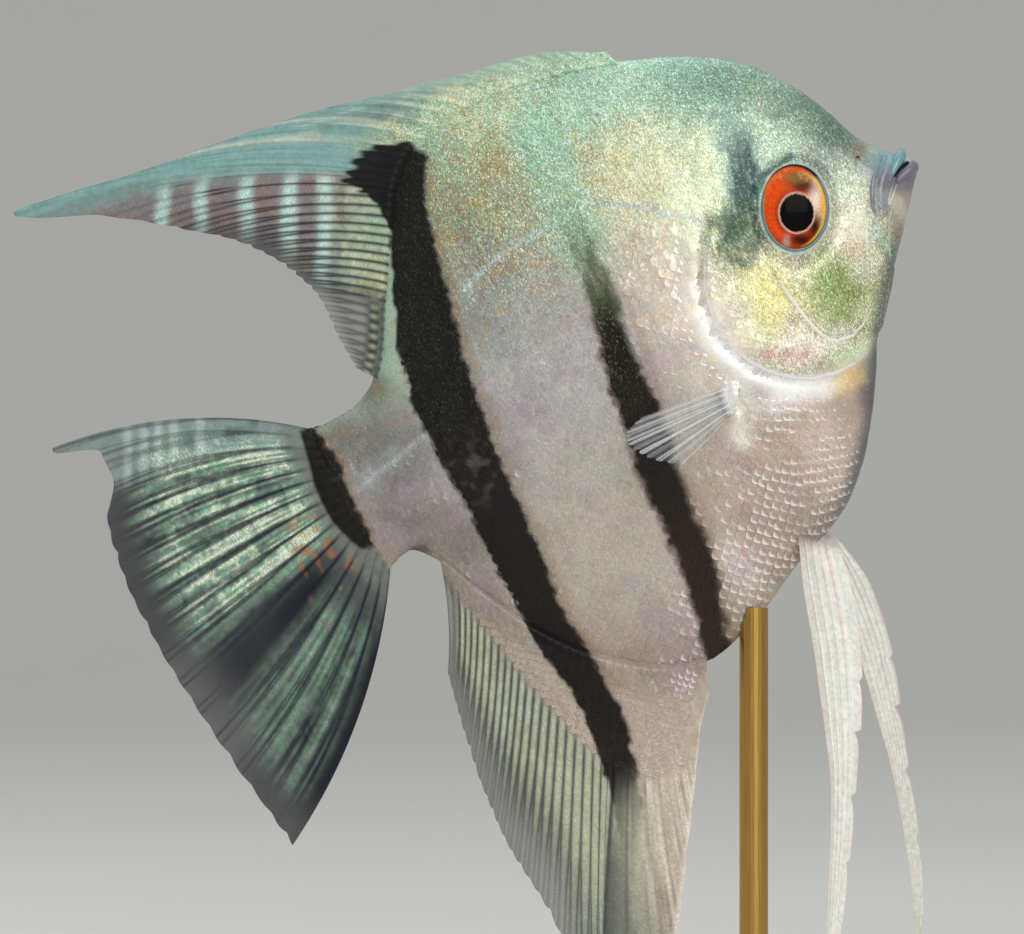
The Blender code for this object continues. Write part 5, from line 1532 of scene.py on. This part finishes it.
# Clear film: nothing shows between the whitish rays but a faint wet gleam.
clear_fin = fin_finish("clear_pectoral_film", 0.30, 0.30)
for side_name, side in (("right", -1), ("left", 1)):
    numbers = np.linspace(0, 12, 12 * 8 + 1)
    shares = numbers / 12
    first, last = (np.array(end) for end in PECTORAL_BASE)
    root = np.zeros((len(shares), 3))
    root[:, :2] = first + (last - first) * shares[:, None]
    root[:, 2] = on_skin(root[:, 0], share_at(root[:, 0], root[:, 1]),
                         np.ones(len(root)))[:, 2] - 0.9
    tip = through(PECTORAL_TIPS)(shares)
    between = np.abs(numbers - np.round(numbers))[:, None]
    v = np.linspace(0, 1, 90)[None]
    v = v - 0.035 * (2 * between) ** 1.5 * v ** 8
    middle = root[:, None] + v[..., None] * (tip - root)[:, None]
    middle[..., 2] += 1.4 * 4 * v * (1 - v)
    middle[..., 2] *= side
    spacing = (np.linalg.norm(np.gradient(middle, axis=0), axis=2)
               / np.gradient(numbers)[:, None])
    away = ray_lines(numbers, v, spacing, ((0.45, 0.95, 0.16),))
    line = bell(away, 0.15)
    length = np.linalg.norm(tip - root, axis=1)[:, None] * v
    lobe = fall(length, 1.2, 2.8)
    bright = 0.25 + 0.75 * np.sin(numbers * 1.35 + 0.3)[:, None] ** 2
    colour = coat(middle.shape[:2], "#ccd3d6")
    colour = lay(colour, (
        ("#f2f3f4", np.maximum(line * bright, 0.9 * lobe)),
        ("#d9c4c6", 0.4 * lobe * ease(noise(length, numbers[:, None], 1.1, 81), 0, 0.8))))
    solid = np.clip(0.05 + 0.80 * line * bright * (1 - 0.45 * v) + 0.9 * lobe, 0, 1)
    half = (0.09 + 0.10 * line * (1 - 0.6 * v) + 0.55 * lobe)
    half *= 0.4 + 0.6 * ease(1 - v, 0, 0.05)
    half = half * (0.35 + 0.65 * ease(np.minimum(shares, 1 - shares), 0, 0.06)[:, None])
    shell(f"pectoral_film_{side_name}", middle, half, colour, solid, 0.0, clear_fin,
          f"pectoral_fin_{side_name}")


# ---- Eyes ----
# A flattened ball under a clear cornea, held by the rim of skin round its opening: a black
# pupil with a thin bright ring, and a red-orange iris that turns brown and gold above and
# cream and yellow in front, with painted highlights of pinkish white beside and below the
# pupil.
EYE_HALF, EYE_TOE, EYE_ROLL = (5.3, 2.6, 6.5), math.radians(9.0), math.radians(3.5)
PUPIL = (-0.20, -0.78, 2.36, 2.62)      # forward, upward, half width, half height
OPENING_MIDDLE = (-0.41, -0.16)         # forward and upward of the ball's centre
IRIS_FIBRES = 2.6                       # to each millimetre
EYE_RINGS, EYE_SPOKES = 95, 144


def eye_finish():
    """A clear cornea over the iris: soft fibres with one small, sharp glint."""
    material, tree, shader = finish_of("wet_eye_under_clear_cornea")
    pigment = add(tree, "VertexColor", layer_name="paint")
    where = add(tree, "TexCoord").outputs["Object"]
    fibres = add(tree, "TexNoise", {"Vector": where, "Scale": IRIS_FIBRES / MM,
                                    "Detail": 3.0})
    tone = add(tree, "ValToRGB", {"Fac": fibres.outputs["Fac"]},
               stops=((0.3, "#dcdcdc"), (0.7, "#ffffff")))
    colour = add(tree, "VectorMath", {0: pigment.outputs["Color"],
                                      1: tone.outputs["Color"]}, operation="MULTIPLY")
    tree.links.new(colour.outputs["Vector"], shader.inputs["Base Color"])
    vary_roughness(tree, shader, fibres.outputs["Fac"], 0.26, 0.36)
    shader.inputs["Specular IOR Level"].default_value = 0.04
    shader.inputs["Coat Weight"].default_value = 0.035
    shader.inputs["Coat Roughness"].default_value = 0.02
    return material


eye_gloss = eye_finish()
for side_name, side in (("right", -1), ("left", 1)):
    low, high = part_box(f"eye_{side_name}")
    centre = np.array((low + high) / 2) / MM
    around = np.linspace(0, 2 * math.pi, EYE_SPOKES, endpoint=False)
    polar = np.linspace(0, math.pi, EYE_RINGS + 2)[1:-1]
    # The poles face outwards and inwards, so the iris is painted in fine rings.
    out = np.concatenate([[1.0], np.repeat(np.cos(polar), EYE_SPOKES), [-1.0]])
    forward = np.concatenate([[0.0], np.outer(np.sin(polar), np.cos(around)).ravel(), [0.0]])
    up = np.concatenate([[0.0], np.outer(np.sin(polar), np.sin(around)).ravel(), [0.0]])
    ball = np.stack([forward * EYE_HALF[0], side * out * EYE_HALF[1], up * EYE_HALF[2]], -1)
    x, z = ball[:, 0], ball[:, 2]
    # The ball's face looks a little up and forwards, square to the cheek.
    toe, roll = -side * EYE_TOE, side * EYE_ROLL
    y_rolled = ball[:, 1] * math.cos(roll) - z * math.sin(roll)
    z_rolled = ball[:, 1] * math.sin(roll) + z * math.cos(roll)
    turned = np.stack([x * math.cos(toe) - y_rolled * math.sin(toe),
                       x * math.sin(toe) + y_rolled * math.cos(toe), z_rolled], -1) + centre
    grid = quads_of(EYE_RINGS, EYE_SPOKES, closed=True, start=1)
    first = 1 + np.arange(EYE_SPOKES)
    last = first + (EYE_RINGS - 1) * EYE_SPOKES
    ends = [np.stack([np.zeros_like(first), np.roll(first, -1), first], -1),
            np.stack([np.full_like(first, len(ball) - 1), last, np.roll(last, -1)], -1)]
    if side < 0:
        grid, ends = grid[:, ::-1], [end[:, ::-1] for end in ends]
    px, pz = x - PUPIL[0], z - PUPIL[1]
    black = np.hypot(px / PUPIL[2], pz / PUPIL[3])
    ahead, high = x - OPENING_MIDDLE[0], z - OPENING_MIDDLE[1]
    reach = np.hypot(ahead / EYE_OPENING[0], high / EYE_OPENING[1])
    angle = np.arctan2(pz / PUPIL[3], px / PUPIL[2])      # 0 forwards, then up
    fibre = (0.5 * noise(angle * 9, reach * 6, 1.0, 91)
             + 0.5 * noise(angle * 22, reach * 9, 1.0, 92))
    rear = fall(np.cos(angle), -0.7, -0.1)
    colour = coat(black.shape, "#f8561c")
    colour = lay(colour, (
        ("#e8843e", 0.55 * rear * ease(reach, 0.86, 0.98)),
        ("#8a2412", 0.80 * rear * fall(black, 1.08, 1.42)),
        ("#fbb04a", 0.95 * ease(ahead, 2.3, 3.3))))
    # Soft patches: centre (forward, up), reach, colour, strength. The pinkish white ones in
    # front of the pupil and low behind it are painted highlights.
    for at_x, at_z, wide, tall, code, strength in (
            (2.75, 1.5, 0.95, 2.8, "#ffefdf", 0.98), (3.7, -1.8, 0.4, 1.7, "#f0c8a0", 0.80),
            (-1.1, -4.6, 0.5, 0.9, "#f0d5c8", 0.75), (1.0, 3.2, 1.9, 1.2, "#2e120a", 0.95),
            (0.2, 4.4, 1.9, 1.0, "#8a7440", 0.90), (1.7, 4.5, 1.0, 0.6, "#a87c4c", 0.70),
            (2.8, -2.5, 1.1, 1.9, "#220a08", 0.97), (0.9, -4.3, 2.0, 1.1, "#1c0c0a", 0.95)):
        spot = from_place(ahead, high, at_x, at_z, wide, tall)
        colour = over(colour, code, strength * np.exp(-spot ** 1.3))
    colour = lay(colour, (
        ("#d8c08a", 0.35 * ease(fibre, 0.1, 0.7) * ease(high, 3.0, 4.2)),
        ("#ffd95e", 0.90 * bell(reach - 0.935, 0.026)
         * ease(np.cos(angle), 0.0, 0.6)),
        ("#f6d2c6", 0.95 * bell(black - 1.055, 0.045)),
        ("#050406", fall(black, 0.99, 1.03)),
        ("#2a1c18", ease(reach, 1.0, 1.06))))
    colour *= (1 + 0.14 * fibre * ease(black, 1.1, 1.3))[:, None]
    eye = mesh_object(f"eyeball_{side_name}", turned * MM, [grid, *ends], eye_gloss)
    paint(eye, np.clip(colour, 0.002, 0.96), np.ones(len(ball)))
    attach(eye, "root")
    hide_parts(f"eye_{side_name}")


# ---- Scales on the anal fin ----
# A sheath of the body's smallest scales wraps the root of the anal fin, laid over
# skin and fin alike, so that no line shows between belly and fin.
SHEATH_ROW, SHEATH_COLUMN = 0.64, 1.25      # spacing down the fin and along it
SHEATH_FRONT, SHEATH_REAR, SHEATH_LOW, SHEATH_HIGH = 56.0, 88.0, -58.0, -12.0


def laid_on(surfaces, s, h, side, above):
    """Points over those objects, seen from one side, at places (s, h). A fillet of
    skin, up to 5 mm wide, bridges the groove where they meet."""
    step_s, step_h, reach = 0.4, 0.25, 20
    grid_s = np.arange(s.min() - 1, s.max() + 1, step_s)
    grid_h = np.arange(h.min() - 5, h.max() + 5, step_h)
    shape = (len(grid_s), len(grid_h))
    start = world_of(np.stack([np.broadcast_to(grid_s[:, None], shape),
                               np.broadcast_to(grid_h[None], shape),
                               np.full(shape, 30.0 * side)], -1))
    level = np.full(shape, np.nan)
    down = Vector((0.0, -side, 0.0))
    for place in np.ndindex(*shape):
        hits = [tree.ray_cast(Vector(start[place]), down)[0] for tree in surfaces]
        found = [hit.y for hit in hits if hit is not None]
        if found:
            level[place] = max(side * y for y in found) / MM
    bridged = level.copy()
    for below in range(1, reach + 1, 2):
        for past_it in range(1, reach + 1, 2):
            part = (level[:, :-below - past_it] * past_it
                    + level[:, below + past_it:] * below) / (below + past_it)
            inner = bridged[:, below:-past_it]
            bridged[:, below:-past_it] = np.where(np.isnan(inner), inner,
                                                  np.fmax(inner, part))
    i = (s - grid_s[0]) / step_s
    j = (h - grid_h[0]) / step_h
    i0, j0 = i.astype(int), j.astype(int)
    fi, fj = i - i0, j - j0
    heights = ((bridged[i0, j0] * (1 - fi) + bridged[i0 + 1, j0] * fi) * (1 - fj)
               + (bridged[i0, j0 + 1] * (1 - fi) + bridged[i0 + 1, j0 + 1] * fi) * fj)
    root = np.nanmin(heights, axis=1, keepdims=True)
    heights = np.where(np.isnan(heights), root, heights)
    heights = np.where(np.isnan(heights), 0.3, heights)
    return np.stack([s, h, side * (heights + above)], -1)


def tree_of(obj):
    """An object's faces, sorted so that a ray finds the first one it meets."""
    places = np.empty(len(obj.data.vertices) * 3, np.float32)
    obj.data.vertices.foreach_get("co", places)
    return BVHTree.FromPolygons(places.reshape(-1, 3).tolist(),
                                [tuple(face.vertices) for face in obj.data.polygons])


trees = (tree_of(skin), tree_of(anal))
rows = np.arange(SHEATH_LOW, SHEATH_HIGH, SHEATH_ROW)
line = np.arange(SHEATH_FRONT, SHEATH_REAR, SHEATH_COLUMN)
h = np.repeat(rows, len(line))
s = (line[None] + (np.arange(len(rows)) % 2)[:, None] * SHEATH_COLUMN / 2).ravel()
past, _ = from_line(s, h, sheath_line)
keep = ((past < -1.0) & (h < belly(np.minimum(s, ANAL_REAR)) + 0.5) & (s > 58.2)
        & ((s < 82.5) | (h < -19.0)))
s, h = s[keep], h[keep]
print("scales on each side of the fin:", len(s))
for side, side_name in ((-1, "right"), (1, "left")):
    chance = np.random.default_rng(70 + side).random((len(s), 8))
    turn = 0.35 + 0.12 * (chance[:, 3] - 0.5)
    x = plate_x.ravel()[None] * SCALE_LONG * SHEATH_ROW
    w = plate_w.ravel()[None] * SCALE_HALF_WIDE * SHEATH_ROW
    points_s = s[:, None] + x * np.cos(turn)[:, None] - w * np.sin(turn)[:, None]
    points_h = h[:, None] - x * np.sin(turn)[:, None] - w * np.cos(turn)[:, None]
    above = (-0.13 + (0.13 + 0.05 * chance[:, 6:7]) * a_grid.ravel()[None]
             + 0.6 * plate_dome.ravel())
    top = laid_on(trees, points_s, points_h, side, above)
    below = top[:, plate_rim] - np.array([0, 0, side * 0.04])
    colour, shine = dressed(points_s, points_h, s + 0.8, h, chance, side)
    plain = ease(belly(np.minimum(s, ANAL_REAR)) - h, 0.5, 5.0)[:, None]
    colour = over(colour, "#b5a497", 0.70 * plain * (1 - third_bar_at(points_s, points_h)[0]))
    # On the unwrap they lie behind the body's scales.
    plots = np.stack([0.75 + (s - SHEATH_FRONT) * 0.0046,
                      (0.52 if side < 0 else 0.02) + (h - SHEATH_LOW) * 0.0070], -1)
    scale_piece(f"anal_fin_scales_{side_name}", top, below, colour, shine, plots)


# ---- Stand ----
# A small board of dark oiled walnut, with one rod of satin brass pressed into it.
# They hold the fish up and are no part of it.
GRAIN_ALONG, GRAIN_ACROSS = 0.018, 0.26     # streaks of grain to each millimetre
BRUSH_ALONG, BRUSH_ACROSS = 0.12, 9.0       # brush lines to each millimetre


def oiled_wood():
    """Oiled walnut: a dull glow that breaks up in the pores, over dark streaks."""
    material, tree, shader = finish_of("dark_oiled_walnut")
    where = add(tree, "TexCoord").outputs["Object"]
    laid = add(tree, "Mapping", {"Vector": where, "Scale": (
        GRAIN_ALONG / MM, GRAIN_ACROSS / MM, GRAIN_ACROSS / MM)})
    rings = add(tree, "TexNoise", {"Vector": laid.outputs["Vector"], "Scale": 1.0,
                                   "Detail": 5.0, "Distortion": 0.8})
    tone = add(tree, "ValToRGB", {"Fac": rings.outputs["Fac"]},
               stops=((0.25, "#2a1710"), (0.45, "#4a2b1c"), (0.60, "#5d3822"),
                      (0.78, "#3a2116")))
    tree.links.new(tone.outputs["Color"], shader.inputs["Base Color"])
    pores = add(tree, "TexNoise", {"Vector": laid.outputs["Vector"], "Scale": 6.0,
                                   "Detail": 3.0})
    vary_roughness(tree, shader, pores.outputs["Fac"], 0.34, 0.52)
    dents = add(tree, "Bump", {"Height": pores.outputs["Fac"], "Strength": 0.25,
                               "Distance": 0.0002})
    tree.links.new(dents.outputs["Normal"], shader.inputs["Normal"])
    shader.inputs["Coat Weight"].default_value = 0.15
    shader.inputs["Coat Roughness"].default_value = 0.3
    return material


def satin_brass():
    """Brass brushed along its length: a broad, soft gleam with fine streaks."""
    material, tree, shader = finish_of("satin_brass")
    where = add(tree, "TexCoord").outputs["Object"]
    laid = add(tree, "Mapping", {"Vector": where, "Scale": (
        BRUSH_ACROSS / MM, BRUSH_ACROSS / MM, BRUSH_ALONG / MM)})
    brushed = add(tree, "TexNoise", {"Vector": laid.outputs["Vector"], "Scale": 1.0,
                                     "Detail": 2.0})
    tone = add(tree, "ValToRGB", {"Fac": brushed.outputs["Fac"]},
               stops=((0.3, "#a98342"), (0.7, "#c39c58")))
    tree.links.new(tone.outputs["Color"], shader.inputs["Base Color"])
    vary_roughness(tree, shader, brushed.outputs["Fac"], 0.26, 0.42)
    shader.inputs["Metallic"].default_value = 1.0
    return material


for node, finish in (("stand_base", oiled_wood()), ("stand_rod", satin_brass())):
    stand = next(o for o in bpy.data.objects if o.get("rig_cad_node", o.name) == node
                 and o.type == "MESH")
    for place in stand.material_slots:
        place.material = finish
